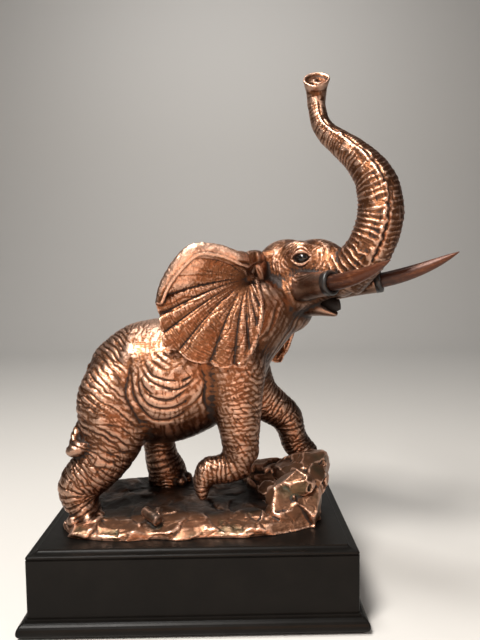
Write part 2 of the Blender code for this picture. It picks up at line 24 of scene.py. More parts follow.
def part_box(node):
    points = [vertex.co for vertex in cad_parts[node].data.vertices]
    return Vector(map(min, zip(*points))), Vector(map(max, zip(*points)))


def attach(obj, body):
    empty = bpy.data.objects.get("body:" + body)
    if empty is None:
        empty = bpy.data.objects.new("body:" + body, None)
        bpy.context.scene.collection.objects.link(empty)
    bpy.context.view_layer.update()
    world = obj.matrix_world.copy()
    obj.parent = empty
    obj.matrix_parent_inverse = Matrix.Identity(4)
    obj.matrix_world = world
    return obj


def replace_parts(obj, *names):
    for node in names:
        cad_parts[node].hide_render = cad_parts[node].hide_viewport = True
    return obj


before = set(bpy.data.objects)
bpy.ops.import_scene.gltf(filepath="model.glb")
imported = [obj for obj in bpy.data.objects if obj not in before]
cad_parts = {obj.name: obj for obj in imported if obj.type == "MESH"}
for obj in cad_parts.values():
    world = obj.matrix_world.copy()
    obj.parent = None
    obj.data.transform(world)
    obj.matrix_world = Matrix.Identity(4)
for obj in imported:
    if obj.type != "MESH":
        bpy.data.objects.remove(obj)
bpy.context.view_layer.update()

LOG = logging.getLogger("elephant")

# Three numbers: a place in metres or in the drawing, or a colour.
Triple = tuple[float, float, float]
# How far a ring stands out at an angle, as a share of its half width.
Section = Callable[[float], float]

UP = Vector((0.0, 0.0, 1.0))
BESIDE = Vector((0.0, 1.0, 0.0))

# The drawing's height over the plinth, up to the rim of the trunk.
DRAWN_TOP = 348.2
PLINTH_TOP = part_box("plinth")[1].z
UNIT = (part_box("elephant_and_rock")[1].z - PLINTH_TOP) / DRAWN_TOP
# How far over the plinth the rock is cut flat, so that the two don't lie in one plane.
SEAT = 0.3
# The turn, in radians, that spreads points most evenly round a stone.
GOLDEN_TURN = 2.399963


class Slot(Enum):
    """The record's material slots."""

    PLINTH = "plinth_lacquer"
    CASTING = "casting"
    TUSK = "tusk"


def to_object() -> Matrix:
    """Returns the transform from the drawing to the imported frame."""
    return Matrix.Translation(UP * PLINTH_TOP) @ Matrix.Scale(UNIT, 4)


def away(points: np.ndarray, centre: Sequence[float]) -> np.ndarray:
    """Returns how far each point is from a centre."""
    return np.linalg.norm(points - np.array(centre), axis=1)


def join_rings(bm: bmesh.types.BMesh, rings: Sequence[Sequence[bmesh.types.BMVert]]) -> None:
    """Adds the wall of faces between each closed ring of corners and the next."""
    for lower, upper in zip(rings, rings[1:]):
        for k, corner in enumerate(lower):
            j = (k + 1) % len(lower)
            bm.faces.new((corner, lower[j], upper[j], upper[k]))


def mesh_from(bm: bmesh.types.BMesh, name: str) -> bpy.types.Mesh:
    """Returns a mesh of what was drawn, and frees the drawing."""
    mesh = bpy.data.meshes.new(name)
    bm.to_mesh(mesh)
    bm.free()
    return mesh


# Noise and curves


class Noise:
    """Smooth seeded noise in space, from about -1 to 1."""

    def __init__(self, seed: int) -> None:
        """Args:
            seed: Picks the pattern.
        """
        self.values = np.random.default_rng(seed).uniform(-1.0, 1.0, 4096)

    def at(self, x: np.ndarray, y: np.ndarray, z: np.ndarray) -> np.ndarray:
        """Reads the noise at points whose coordinates are counted in cells.

        Args:
            x: First coordinates.
            y: Second coordinates.
            z: Third coordinates.

        Returns:
            One value for each point.
        """
        place = np.stack([x, y, z], axis=1)
        cell = np.floor(place).astype(np.int64)
        part = place - cell
        ease = part * part * (3.0 - 2.0 * part)
        total = np.zeros(len(place))
        for corner in product((0, 1), repeat=3):
            key = (cell[:, 0] + corner[0]) * 73856093
            key = key ^ ((cell[:, 1] + corner[1]) * 19349663)
            key = key ^ ((cell[:, 2] + corner[2]) * 83492791)
            weight = np.ones(len(place))
            for axis, step in enumerate(corner):
                weight *= ease[:, axis] if step else 1.0 - ease[:, axis]
            total += self.values[key & 4095] * weight
        return total * 1.5

    def rough(self, points: np.ndarray, size: float, octaves: int = 3) -> np.ndarray:
        """Reads several sizes of noise added together.

        Args:
            points: Points of the drawing.
            size: The largest cell, in drawing units.
            octaves: How many halved sizes are added.

        Returns:
            One value for each point.
        """
        total = np.zeros(len(points))
        for octave in range(octaves):
            q = points / (size * 0.5**octave) + 17.3 * octave
            total += self.at(q[:, 0], q[:, 1], q[:, 2]) * 0.5**octave
        return total


def smooth_step(low: float, high: float, values: np.ndarray) -> np.ndarray:
    """Returns 0 below low, 1 above high, and an easy passage between."""
    share = np.clip((values - low) / (high - low), 0.0, 1.0)
    return share * share * (3.0 - 2.0 * share)


def bell(values: np.ndarray, width: float) -> np.ndarray:
    """Returns 1 where the values are 0, falling away over the width."""
    return np.exp(-((values / width) ** 2))


def smooth_rows(rows: Sequence[Sequence[float]], per_span: int) -> np.ndarray:
    """Reads rows from a Catmull-Rom curve.

    Args:
        rows: Rows of numbers that the curve goes through.
        per_span: Rows read between one given row and the next.

    Returns:
        The rows read, ends included.
    """
    given = np.asarray(rows, dtype=float)
    ends = np.vstack([2 * given[0] - given[1], given, 2 * given[-1] - given[-2]])
    found = []
    for a, b, c, d in zip(ends, ends[1:], ends[2:], ends[3:]):
        for t in np.arange(per_span) / per_span:
            bend = (2 * a - 5 * b + 4 * c - d) * t**2 + (3 * b - a - 3 * c + d) * t**3
            found.append(0.5 * (2 * b + (c - a) * t + bend))
    found.append(given[-1])
    return np.array(found)


@dataclass
class Place:
    """Where points lie along a path: how far along, inward and outward of it."""

    along: np.ndarray
    inward: np.ndarray
    outward: np.ndarray
    ratio: np.ndarray | None = None
    girth: np.ndarray | float = 15.0

    def nearness(self, fade: float = 0.24) -> np.ndarray:
        """Returns 1 on the path's own skin, falling to 0 outside it."""
        return bell(np.maximum(self.ratio - 1.0, 0.0), fade)

    def crossed(self) -> Place:
        """Returns the places with the way round the path taken as the way along."""
        around = np.arctan2(self.outward, self.inward) * self.girth
        return Place(around, self.along, np.zeros(len(around)))


class Path:
    """A smooth curve with a half width in its plane and one across it."""

    def __init__(self, rows: Sequence[Sequence[float]], across: Vector, per_span: int = 5) -> None:
        """Args:
            rows: Centre and two half widths of each station.
            across: The direction that the second half width follows.
            per_span: Rows read between stations.
        """
        self.rows = smooth_rows(rows, per_span)
        self.centres = self.rows[:, :3]
        count = len(self.rows)
        self.ahead = np.zeros((count, 3))
        self.side = np.zeros((count, 3))
        for i in range(count):
            step = self.centres[min(i + 1, count - 1)] - self.centres[max(i - 1, 0)]
            self.ahead[i] = step / np.linalg.norm(step)
            side = np.array(across) - self.ahead[i] * np.dot(self.ahead[i], across)
            self.side[i] = side / np.linalg.norm(side)
        self.normal = np.cross(self.side, self.ahead)
        steps = np.linalg.norm(np.diff(self.centres, axis=0), axis=1)
        self.lengths = np.concatenate([[0.0], np.cumsum(steps)])

    def locate(self, points: np.ndarray) -> Place:
        """Finds the nearest place on the path for each point.

        Args:
            points: Points of the drawing.

        Returns:
            Their places. Beyond an end, the path is carried on straight.
        """
        count = len(points)
        last = len(self.rows) - 2
        best = np.full(count, np.inf)
        along = np.zeros(count)
        inward = np.zeros(count)
        outward = np.zeros(count)
        ratio = np.zeros(count)
        girth = np.zeros(count)
        for i in range(last + 1):
            length = self.lengths[i + 1] - self.lengths[i]
            ahead = (self.centres[i + 1] - self.centres[i]) / length
            offset = points - self.centres[i]
            t = offset @ ahead / length
            inside = np.clip(t, 0.0, 1.0)
            gap = offset - np.outer(inside * length, ahead)
            distance = np.einsum("ij,ij->i", gap, gap)
            better = distance < best
            if i == 0:
                inside = np.minimum(t, 1.0)
            if i == last:
                inside = np.maximum(t, 0.0)
            inside = inside[better]
            gap = offset[better] - np.outer(inside * length, ahead)
            share = np.clip(inside, 0.0, 1.0)[:, None]
            normal = self.normal[i] * (1 - share) + self.normal[i + 1] * share
            side = self.side[i] * (1 - share) + self.side[i + 1] * share
            widths = self.rows[i, 3:5] * (1 - share) + self.rows[i + 1, 3:5] * share
            best[better] = distance[better]
            along[better] = self.lengths[i] + inside * length
            inward[better] = np.einsum("ij,ij->i", gap, normal)
            outward[better] = np.einsum("ij,ij->i", gap, side)
            girth[better] = widths.mean(axis=1)
            beyond = np.maximum(np.abs(inside - 0.5) - 0.5, 0.0) * length
            ratio[better] = np.sqrt(
                (inward[better] / widths[:, 0]) ** 2
                + (outward[better] / widths[:, 1]) ** 2
                + (beyond / widths.min(axis=1)) ** 2
            )
        return Place(along, inward, outward, ratio, girth)


# Clay: closed lumps that fuse into one skin


def shaped(mesh: bpy.types.Mesh, *steps: tuple[str, dict]) -> bpy.types.Mesh:
    """Runs modifiers on a mesh.

    Args:
        mesh: The mesh to shape.
        steps: The kind and settings of each modifier.

    Returns:
        The shaped mesh.
    """
    helper = bpy.data.objects.new("helper", mesh)
    bpy.context.scene.collection.objects.link(helper)
    for kind, settings in steps:
        modifier = helper.modifiers.new(kind.title(), kind)
        for name, value in settings.items():
            setattr(modifier, name, value)
    graph = bpy.context.evaluated_depsgraph_get()
    result = bpy.data.meshes.new_from_object(helper.evaluated_get(graph))
    bpy.data.objects.remove(helper)
    return result


def largest_body(mesh: bpy.types.Mesh) -> bpy.types.Mesh:
    """Returns the mesh with only its largest closed body."""
    bm = bmesh.new()
    bm.from_mesh(mesh)
    unseen = set(bm.verts)
    bodies = []
    while unseen:
        reached = [unseen.pop()]
        body = []
        while reached:
            vert = reached.pop()
            body.append(vert)
            for edge in vert.link_edges:
                other = edge.other_vert(vert)
                if other in unseen:
                    unseen.remove(other)
                    reached.append(other)
        bodies.append(body)
    bodies.sort(key=len)
    for body in bodies[:-1]:
        bmesh.ops.delete(bm, geom=body, context="VERTS")
    bm.to_mesh(mesh)
    bm.free()
    return mesh


def reduced(mesh: bpy.types.Mesh, triangles: int) -> bpy.types.Mesh:
    """Returns the mesh in triangles, and in about as many as given at most."""
    mesh = shaped(mesh, ("TRIANGULATE", {}))
    ratio = min(triangles / len(mesh.polygons), 1.0)
    return shaped(mesh, ("DECIMATE", {"decimate_type": "COLLAPSE", "ratio": ratio}))


def subtracted(mesh: bpy.types.Mesh, hollow: bpy.types.Mesh) -> bpy.types.Mesh:
    """Returns the mesh with a closed form cut out of it."""
    cutter = bpy.data.objects.new("cutter", hollow)
    bpy.context.scene.collection.objects.link(cutter)
    cut = shaped(mesh, ("BOOLEAN", {"operation": "DIFFERENCE", "solver": "MANIFOLD", "object": cutter}))
    bpy.data.objects.remove(cutter)
    return cut


@dataclass(frozen=True)
class Stone:
    """A faceted stone."""

    centre: Triple
    radii: Triple
    seed: int
    corners: int
    lean: float = 0.0
    turn: float = 0.0


class Clay:
    """Closed lumps pressed together, which fuse into one skin."""

    def __init__(self) -> None:
        """Starts with no lumps."""
        self.bm = bmesh.new()

    def ring(
        self,
        centre: np.ndarray,
        widths: Sequence[float],
        normal: np.ndarray,
        side: np.ndarray,
        sides: int,
        section: Section | None,
    ) -> list[bmesh.types.BMVert]:
        """Adds a ring of corners.

        Args:
            centre: Its middle.
            widths: Its half widths along the normal and along the side.
            normal: The way its first half width goes.
            side: The way its second half width goes.
            sides: How many corners it has.
            section: Gives how far it stands out at an angle.

        Returns:
            The corners.
        """
        corners = []
        for k in range(sides):
            angle = math.tau * k / sides
            grow = section(angle) if section else 1.0
            offset = normal * widths[0] * math.cos(angle) + side * widths[1] * math.sin(angle)
            corners.append(self.bm.verts.new(centre + offset * grow))
        return corners

    def limb(self, path: Path, sides: int = 24, section: Section | None = None) -> None:
        """Adds a tapering form along a path.

        Args:
            path: The path and its half widths.
            sides: Corners of each ring.
            section: Gives how far the ring stands out at an angle.
        """
        rings = [
            self.ring(row[:3], row[3:5], normal, side, sides, section)
            for row, normal, side in zip(path.rows, path.normal, path.side)
        ]
        join_rings(self.bm, rings)
        for end, sign in ((0, -1.0), (-1, 1.0)):
            row = path.rows[end]
            pole = self.bm.verts.new(row[:3] + path.ahead[end] * sign * 0.4 * min(row[3], row[4]))
            ring = rings[end]
            for k in range(sides):
                corner = (ring[k], ring[(k + 1) % sides], pole)
                self.bm.faces.new(corner if sign > 0 else corner[::-1])

    def cup(
        self, path: Path, rim: float, depth: float, sides: int = 32, section: Section | None = None
    ) -> None:
        """Adds a tapering form whose far end is hollowed out.

        Args:
            path: The path and its half widths.
            rim: The thickness left at the rim.
            depth: How deep the hollow goes.
            sides: Corners of each ring.
            section: Gives how far the ring stands out at an angle.
        """
        rows = [
            (row[:3], row[3:5], normal, side)
            for row, normal, side in zip(path.rows, path.normal, path.side)
        ]
        end, widths, normal, side = rows[-1]
        ahead = path.ahead[-1]
        for inset, sink in ((0.35, -0.5), (0.75, -0.35), (1.0, 0.3), (1.25, 0.6), (1.5, 1.0)):
            # Past the rim, the wall turns inward and down to the hollow's floor.
            rows.append((end - ahead * depth * max(sink, -0.1), widths - rim * inset, normal, side))
        rings = [self.ring(*row, sides, section) for row in rows]
        join_rings(self.bm, rings)
        self.bm.faces.new(rings[0][::-1])
        self.bm.faces.new(rings[-1])

    def ball(
        self, centre: Sequence[float], radii: Sequence[float], turn: float = 0.0, lean: float = 0.0
    ) -> None:
        """Adds an ellipsoid.

        Args:
            centre: Its middle.
            radii: Its three half lengths.
            turn: Its turn about Z, made last.
            lean: Its lean about Y.
        """
        place = Matrix.Translation(Vector(centre)) @ Matrix.Rotation(turn, 4, "Z")
        place = place @ Matrix.Rotation(lean, 4, "Y") @ Matrix.Diagonal((*radii, 1.0))
        bmesh.ops.create_icosphere(self.bm, subdivisions=3, radius=1.0, matrix=place)

    def sheet(self, front: np.ndarray, back: np.ndarray) -> None:
        """Adds a closed sheet between two grids of points.

        Args:
            front: Rows of points of its front.
            back: Rows of points of its back.
        """
        top, under = (
            [[self.bm.verts.new(point) for point in row] for row in grid] for grid in (front, back)
        )
        rows = len(top) - 1
        columns = len(top[0]) - 1
        for i in range(rows):
            for j in range(columns):
                self.bm.faces.new((top[i][j], top[i][j + 1], top[i + 1][j + 1], top[i + 1][j]))
                self.bm.faces.new((under[i][j], under[i + 1][j], under[i + 1][j + 1], under[i][j + 1]))
            self.bm.faces.new((top[i][0], top[i + 1][0], under[i + 1][0], under[i][0]))
            self.bm.faces.new((top[i][-1], under[i][-1], under[i + 1][-1], top[i + 1][-1]))
        for j in range(columns):
            self.bm.faces.new((top[0][j], under[0][j], under[0][j + 1], top[0][j + 1]))
            self.bm.faces.new((top[-1][j], top[-1][j + 1], under[-1][j + 1], under[-1][j]))

    def stone(self, stone: Stone) -> None:
        """Adds a faceted stone, the hull of points scattered on an ellipsoid."""
        chance = random.Random(stone.seed)
        place = Matrix.Translation(Vector(stone.centre)) @ Matrix.Rotation(stone.turn, 4, "Z")
        place = place @ Matrix.Rotation(stone.lean, 4, "Y") @ Matrix.Diagonal((*stone.radii, 1.0))
        verts = []
        for i in range(stone.corners):
            # Even steps in height and in turn keep the corners spread over the stone.
            height = 1.0 - 2.0 * (i + 0.5) / stone.corners
            spin = GOLDEN_TURN * i + chance.uniform(-0.35, 0.35)
            flat = math.sqrt(1.0 - height * height)
            reach = chance.uniform(0.92, 1.12)
            point = Vector((math.cos(spin) * flat, math.sin(spin) * flat, height)) * reach
            verts.append(self.bm.verts.new(place @ point))
        hull = bmesh.ops.convex_hull(self.bm, input=verts)
        spare = {item for item in hull["geom_interior"] if isinstance(item, bmesh.types.BMVert)}
        bmesh.ops.delete(self.bm, geom=list(spare), context="VERTS")

    def fused(self, voxel: float, passes: int) -> bpy.types.Mesh:
        """Fuses the lumps.

        Args:
            voxel: The size of the cells that the skin is read from.
            passes: How many times the skin is smoothed.

        Returns:
            The skin.
        """
        self.bm.normal_update()
        return shaped(
            mesh_from(self.bm, "clay"),
            ("REMESH", {"mode": "VOXEL", "voxel_size": voxel}),
            ("SMOOTH", {"factor": 0.5, "iterations": passes}),
        )


# Skin: carving laid on a fused form


class Skin:
    """The points of a mesh, and the carving laid on them along their normals."""

    def __init__(self, mesh: bpy.types.Mesh) -> None:
        """Args:
            mesh: The mesh to carve.
        """
        self.mesh = mesh
        count = len(mesh.vertices)
        self.points = np.zeros(count * 3)
        mesh.vertices.foreach_get("co", self.points)
        self.points = self.points.reshape(-1, 3)
        self.normals = np.zeros(count * 3)
        mesh.vertex_normals.foreach_get("vector", self.normals)
        self.normals = self.normals.reshape(-1, 3)
        edges = np.zeros(len(mesh.edges) * 2, dtype=np.int64)
        mesh.edges.foreach_get("vertices", edges)
        self.edges = edges.reshape(-1, 2)
        self.degree = np.maximum(np.bincount(edges, minlength=count), 1)
        self.laid = np.zeros(count)
        self.shares = np.zeros(count)
        self.added = np.zeros(count)

    def blurred(self, values: np.ndarray, passes: int) -> np.ndarray:
        """Averages values with their neighbours.

        Args:
            values: One value, or one row of values, for each point.
            passes: How many times they are averaged.

        Returns:
            The averaged values.
        """
        if values.ndim == 2:
            return np.stack([self.blurred(column, passes) for column in values.T], axis=1)
        one, two = self.edges.T
        for _ in range(passes):
            total = np.bincount(one, values[two], len(values)) + np.bincount(two, values[one], len(values))
            values = 0.5 * values + 0.5 * total / self.degree
        return values

    def lay(self, height: np.ndarray, share: np.ndarray) -> None:
        """Lays a pattern that shares the skin with the patterns beside it."""
        self.laid += height * share
        self.shares += share

    def press(self, height: np.ndarray) -> None:
        """Adds a mark on top of the patterns."""
        self.added += height

    def bump(self, centre: Sequence[float], radius: float, height: float) -> None:
        """Raises a soft round boss.

        Args:
            centre: Its middle.
            radius: How far it spreads.
            height: How far it stands.
        """
        self.press(height * bell(away(self.points, centre), radius))

    def folds(
        self, curves: Sequence[Sequence[Sequence[float]]], share: np.ndarray, width: float, depth: float
    ) -> None:
        """Sinks folds drawn on the animal's side view, each deepest at its middle.

        Args:
            curves: The folds, each a row of X and Z.
            share: How much of them each point takes.
            width: How soon they fade to the sides.
            depth: Their depth.
        """
        chosen = np.flatnonzero(share > 0.01)
        flat = self.points[chosen][:, (0, 2)]
        height = np.zeros(len(chosen))
        for curve in curves:
            rows = smooth_rows(curve, 5)
            steps = np.linalg.norm(np.diff(rows, axis=0), axis=1)
            lengths = np.concatenate([[0.0], np.cumsum(steps)])
            best = np.full(len(chosen), np.inf)
            along = np.zeros(len(chosen))
            for start, end, step, length in zip(rows, rows[1:], steps, lengths):
                ahead = (end - start) / step
                t = np.clip((flat - start) @ ahead, 0.0, step)
                distance = np.linalg.norm(flat - start - np.outer(t, ahead), axis=1)
                better = distance < best
                best[better] = distance[better]
                along[better] = length + t[better]
            ends = np.sin(np.pi * np.clip(along / lengths[-1], 0.02, 0.98)) ** 0.6
            height = np.minimum(height, -depth * ends * np.exp(-best / width))
        self.added[chosen] += height * share[chosen]

    def finish(self) -> None:
        """Moves the points by what was laid and added."""
        height = self.laid / np.maximum(self.shares, 1.0) + self.added
        self.points += self.normals * height[:, None]
        self.mesh.vertices.foreach_set("co", self.points.ravel())
        self.mesh.update()

    def store(self, name: str, values: np.ndarray) -> None:
        """Writes one number for each point, which the finishes read by name."""
        attribute = self.mesh.attributes.new(name, "FLOAT", "POINT")
        attribute.data.foreach_set("value", values.astype(np.float32))

    def store_relief(self, passes: int = 5, wide: int = 40, painted_highlight: np.ndarray | float = 0.0) -> None:
        """Writes how far each point stands over the skin round it, near and far.

        Args:
            passes: How far near reaches, in averagings.
            wide: How far far reaches.
            painted_highlight: Painted highlight, from 0 to 1: the patina is lifted off down to the hollows so
                that lit parts read bright.
        """
        near = np.einsum("ij,ij->i", self.points - self.blurred(self.points, passes), self.normals)
        far = np.einsum("ij,ij->i", self.points - self.blurred(self.points, wide), self.normals)
        # The painted highlight brightens the crests and clears the dark recesses.
        self.store("wear_and_highlight", np.clip(0.5 + self.blurred(near, 1) * 2.4 + 0.45 * painted_highlight, 0.0, 1.0))
        self.store("hollow", np.clip(0.5 - self.blurred(far, 2) * 0.27, 0.0, 1.0) * (1.0 - painted_highlight))

    def store_flow(self, places: Sequence[Place]) -> None:
        """Writes coordinates that follow the limbs, for the grain of the skin.

        Args:
            places: The points' places on each limb; each point takes the nearest limb's.
        """
        nearest = np.argmin([place.ratio for place in places], axis=0)
        flow = np.zeros((len(self.points), 3))
        for number, place in enumerate(places):
            own = nearest == number
            rows = np.stack([place.inward, place.outward, place.along + 300.0 * number], axis=1)
            flow[own] = rows[own]
        attribute = self.mesh.attributes.new("flow", "FLOAT_VECTOR", "POINT")
        attribute.data.foreach_set("vector", flow.astype(np.float32).ravel())


@dataclass(frozen=True)
class Creases:
    """Nearly parallel creases, each with its own start and end."""

    pitch: float
    depth: float
    seed: int
    lean: float = 0.0
    share: float = 0.85
    length: float = 11.0
    wander: float = 0.5
    sharp: float = 0.16

    def read(self, place: Place) -> np.ndarray:
        """Reads the creases.

        Args:
            place: Places of the points; the creases follow one another along it.

        Returns:
            How far each point stands, 0 or less.
        """
        along, inward, outward = place.along, place.inward, place.outward
        noise = Noise(self.seed)
        sway = self.pitch * 4.5
        phase = (along + self.lean * inward) / self.pitch
        phase += self.wander * noise.at(inward / sway, outward / sway, along / sway)
        phase += self.wander * 0.4 * noise.at(inward / 5 + 7, outward / 5, along / (self.pitch * 1.5))
        number = np.round(phase)
        aside = np.abs(phase - number)
        gate = noise.at(inward / self.length + 31, outward / self.length, number * 1.73)
        edge = (0.5 - self.share) * 1.4
        return -self.depth * smooth_step(edge - 0.4, edge + 0.4, gate) * np.exp(-aside / self.sharp)


@dataclass(frozen=True)
class Hide:
    """Wrinkled hide: rings, slanting creases between them and cracks along the limb."""

    pitch: float
    depth: float
    seed: int
    lean: float = 0.0
    cracks: float = 0.4
    length: float = 11.0
    slant: float = 0.42
    wander: float = 0.5

    def read(self, place: Place) -> np.ndarray:
        """Returns how far each point stands, 0 or less."""
        pitch, depth, seed, lean, length = self.pitch, self.depth, self.seed, self.lean, self.length
        relief = Creases(pitch, depth, seed, lean, 0.93, length, self.wander).read(place)
        for creases in (
            Creases(pitch * 0.52, depth * 0.45, seed + 9, lean, 0.45, length * 0.6),
            Creases(pitch * 1.35, depth * 0.7, seed + 1, lean + 0.45, self.slant, length),
            Creases(pitch * 1.35, depth * 0.7, seed + 2, lean - 0.45, self.slant, length),
        ):
            relief = np.minimum(relief, creases.read(place))
        cracks = Creases(3.1, depth * self.cracks, seed + 3, 0.2, 0.42, 4.0, 0.5, 0.13)
        return relief + cracks.read(place.crossed())


@dataclass
class Limb:
    """A limb of clay, with the hide on it."""

    rows: Sequence[Sequence[float]]
    hide: Hide | None = None
    across: Vector = field(default_factory=lambda: BESIDE.copy())
    sides: int = 24
    fade: float = 0.24

    def path(self) -> Path:
        """Returns the path through the limb's stations."""
        return Path(self.rows, self.across)

    def press(self, clay: Clay) -> None:
        """Adds the limb's form to the clay."""
        clay.limb(self.path(), self.sides)

    def carve(self, skin: Skin) -> None:
        """Lays the limb's hide on the skin."""
        if self.hide:
            place = self.path().locate(skin.points)
            skin.lay(self.hide.read(place), place.nearness(self.fade))


# The head's own frame, and what grows from it


@dataclass(frozen=True)
class HeadPose:
    """Where the head is, and how far it is turned to the animal's right."""

    centre: Vector = field(default_factory=lambda: Vector((80.0, -2.0, 190.0)))
    turn: float = math.radians(35.0)

    @property
    def ahead(self) -> Vector:
        """The way the head faces."""
        return Vector((math.cos(self.turn), -math.sin(self.turn), 0.0))

    @property
    def across(self) -> Vector:
        """The animal's left, seen from its head."""
        return Vector((math.sin(self.turn), math.cos(self.turn), 0.0))

    def at(self, forward: float, left: float, up: float) -> Vector:
        """Returns a point given forward, to the left and up from the head's centre."""
        return self.centre + self.ahead * forward + self.across * left + UP * up

    def rows(self, *stations: Sequence[float]) -> list[tuple[float, ...]]:
        """Returns stations given on the head, each with its half widths."""
        return [(*self.at(f, l, u), *widths) for f, l, u, *widths in stations]

    def local(self, points: np.ndarray) -> np.ndarray:
        """Returns points as forward, left and up from the head's centre."""
        axes = np.array([self.ahead, self.across, UP])
        return (points - np.array(self.centre)) @ axes.T


POSE = HeadPose()


@dataclass(frozen=True)
class Ear:
    """An ear: a pleated sheet spread from its hub, with a rolled upper rim."""

    hub: Vector
    side: int
    low: float
    outline: tuple[tuple[float, float], ...] = (
        (-24, 22), (9, 19), (34, 23), (47, 31.5), (56, 44.5), (63, 50.5), (78, 57), (93, 65),
        (101, 71), (115, 73), (127, 80), (136, 76), (146, 73), (167, 67), (177, 65),
        (181, 55), (186, 44), (198, 29), (209, 18), (217, 12),
    )
    pleat: float = 13.5
    sweep: float = 11.0
    columns: int = 300
    rings: int = 54
    voxel: float = 0.58

    def reach(self, angle: np.ndarray) -> np.ndarray:
        """Returns how far the ear reaches from its hub at angles in degrees."""
        return np.interp(angle, *zip(*self.outline))

    def pleats(self, angle: np.ndarray, share: np.ndarray) -> np.ndarray:
        """Counts the pleats, whose valleys bend back towards the hub, at places on the ear."""
        bent = angle + self.sweep * (1.0 - np.clip(share, 0.0, 1.0)) ** 1.5
        return (bent - 111.2) / self.pleat + 0.3 * np.sin(np.radians(bent - 111.2) * 5.0)

    def fold(self, angle: np.ndarray, share: np.ndarray) -> np.ndarray:
        """Returns how far a pleat stands at places on the ear, from -1 to 1."""
        return 2.0 * np.abs(np.sin(np.pi * self.pleats(angle, share))) ** 0.75 - 1.0

    def depth(self, angle: np.ndarray, share: np.ndarray) -> np.ndarray:
        """Returns how far out the sheet stands.

        Args:
            angle: Angles round the hub, in degrees.
            share: Distances from the hub as shares of the reach.

        Returns:
            The sheet's middle, away from the animal's side.
        """
        stand = np.interp(angle, (-24, 20, 60, 175, 217), (-0.45, 0.4, 1, 1, 0.2))
        fan = 1.0 / (1.0 + np.exp(-(angle - 92) * 0.5))
        swell = 16.0 * stand * share**0.7 + 2.0 * np.sin(math.pi * share)
        soft = 0.7 * np.sin(np.radians((angle - 60) * 9)) * (1.0 - fan)
        return swell + share * (1.35 * fan * self.fold(angle, share) + 4.0 * (1.0 - fan) + soft)

    def grid(self) -> tuple[np.ndarray, np.ndarray]:
        """Returns the grids of points of the ear's front and back."""
        angle = np.linspace(self.outline[0][0], self.outline[-1][0], self.columns)[:, None]
        share = np.linspace(0.04, 1.0, self.rings)[None, :]
        notch = 0.018 * self.fold(angle, share) * (angle > 112)
        reach = self.reach(angle) * (1.0 + notch) * share
        out = np.radians(angle)
        drop = self.low * share * np.maximum(0.0, -np.cos(out))
        depth = self.depth(angle, share)
        thick = 2.5 - 0.5 * share
        x = self.hub.x - np.sin(out) * reach
        z = self.hub.z + np.cos(out) * reach - drop
        sheets = []
        for sign in (1, -1):
            y = self.hub.y + self.side * (depth + sign * thick)
            sheets.append(np.stack([x, y, z], axis=2))
        return sheets[0], sheets[1]

    def flap(self, clay: Clay, middle: np.ndarray, front: np.ndarray) -> None:
        """Adds the flap that folds over along the top and the back.

        Args:
            clay: The clay to add it to.
            middle: The grid of the sheet's middle.
            front: The grid of its front.
        """
        span = self.columns / 90
        rim, cover, lip, lobe = [], [], [], []
        for i in range(0, 49, 4):
            k = round(i * span)
            edge = middle[k, -1]
            inward = front[k, -3 * self.rings // 18] - front[k, -1]
            inward /= np.linalg.norm(inward)
            out = np.array((0.0, self.side, 0.0))
            reach = np.interp(i, (0, 12, 30, 42, 48), (4.4, 5.4, 6.0, 4.6, 2.4))
            thick = np.interp(i, (0, 30, 48), (3.2, 2.8, 2.0))
            rim.append((*(edge + inward * 2.6 + out * 1.0), 3.6, 3.4))
            cover.append((*(edge + inward * reach + out * (thick + 1.0)), reach, thick))
            lip.append((*(edge + inward * (reach * 1.85) + out * (thick + 2.6)), 1.5, 1.7))
        for rows in (rim, cover, lip):
            clay.limb(Path(rows, BESIDE, 3), sides=16)
        # A narrower roll runs from the hub back along the end of the rim.
        lobe.append((*(self.hub + Vector((5, self.side * 1.5, 0))), 2.6, 2.6))
        for i in range(88, 70, -3):
            k = round(i * span)
            inward = front[k, -3 * self.rings // 18] - front[k, -1]
            inward /= np.linalg.norm(inward)
            lobe.append((*(middle[k, -1] + inward * 1.6 + np.array((0, self.side * 1.2, 0))), 2.5, 2.7))
        clay.limb(Path(lobe, BESIDE, 3), sides=12)
        bridge = [
            (*cover[1][:3], 4.6, 3.6), (*cover[0][:3], 4.8, 4.2),
            (*POSE.at(-17, self.side * 25, 15), 5.5, 6), (*POSE.at(-8, self.side * 15, 17), 7, 7),
        ]
        clay.limb(Path(bridge, BESIDE), sides=16)
        clay.ball(self.hub + Vector((0, self.side * 2.0, 0)), (5.0, 2.7, 5.0))

    def press_root(self, clay: Clay) -> None:
        """Adds the ear's root to the head's clay."""
        root = [
            (*POSE.at(-8, self.side * 13, 2), 12, 20),
            (*POSE.at(-17, self.side * 20, 2), 9, 19),
            (*(self.hub + Vector((7, -self.side * 5, -3))), 5, 15),
        ]
        clay.limb(Path(root, UP))

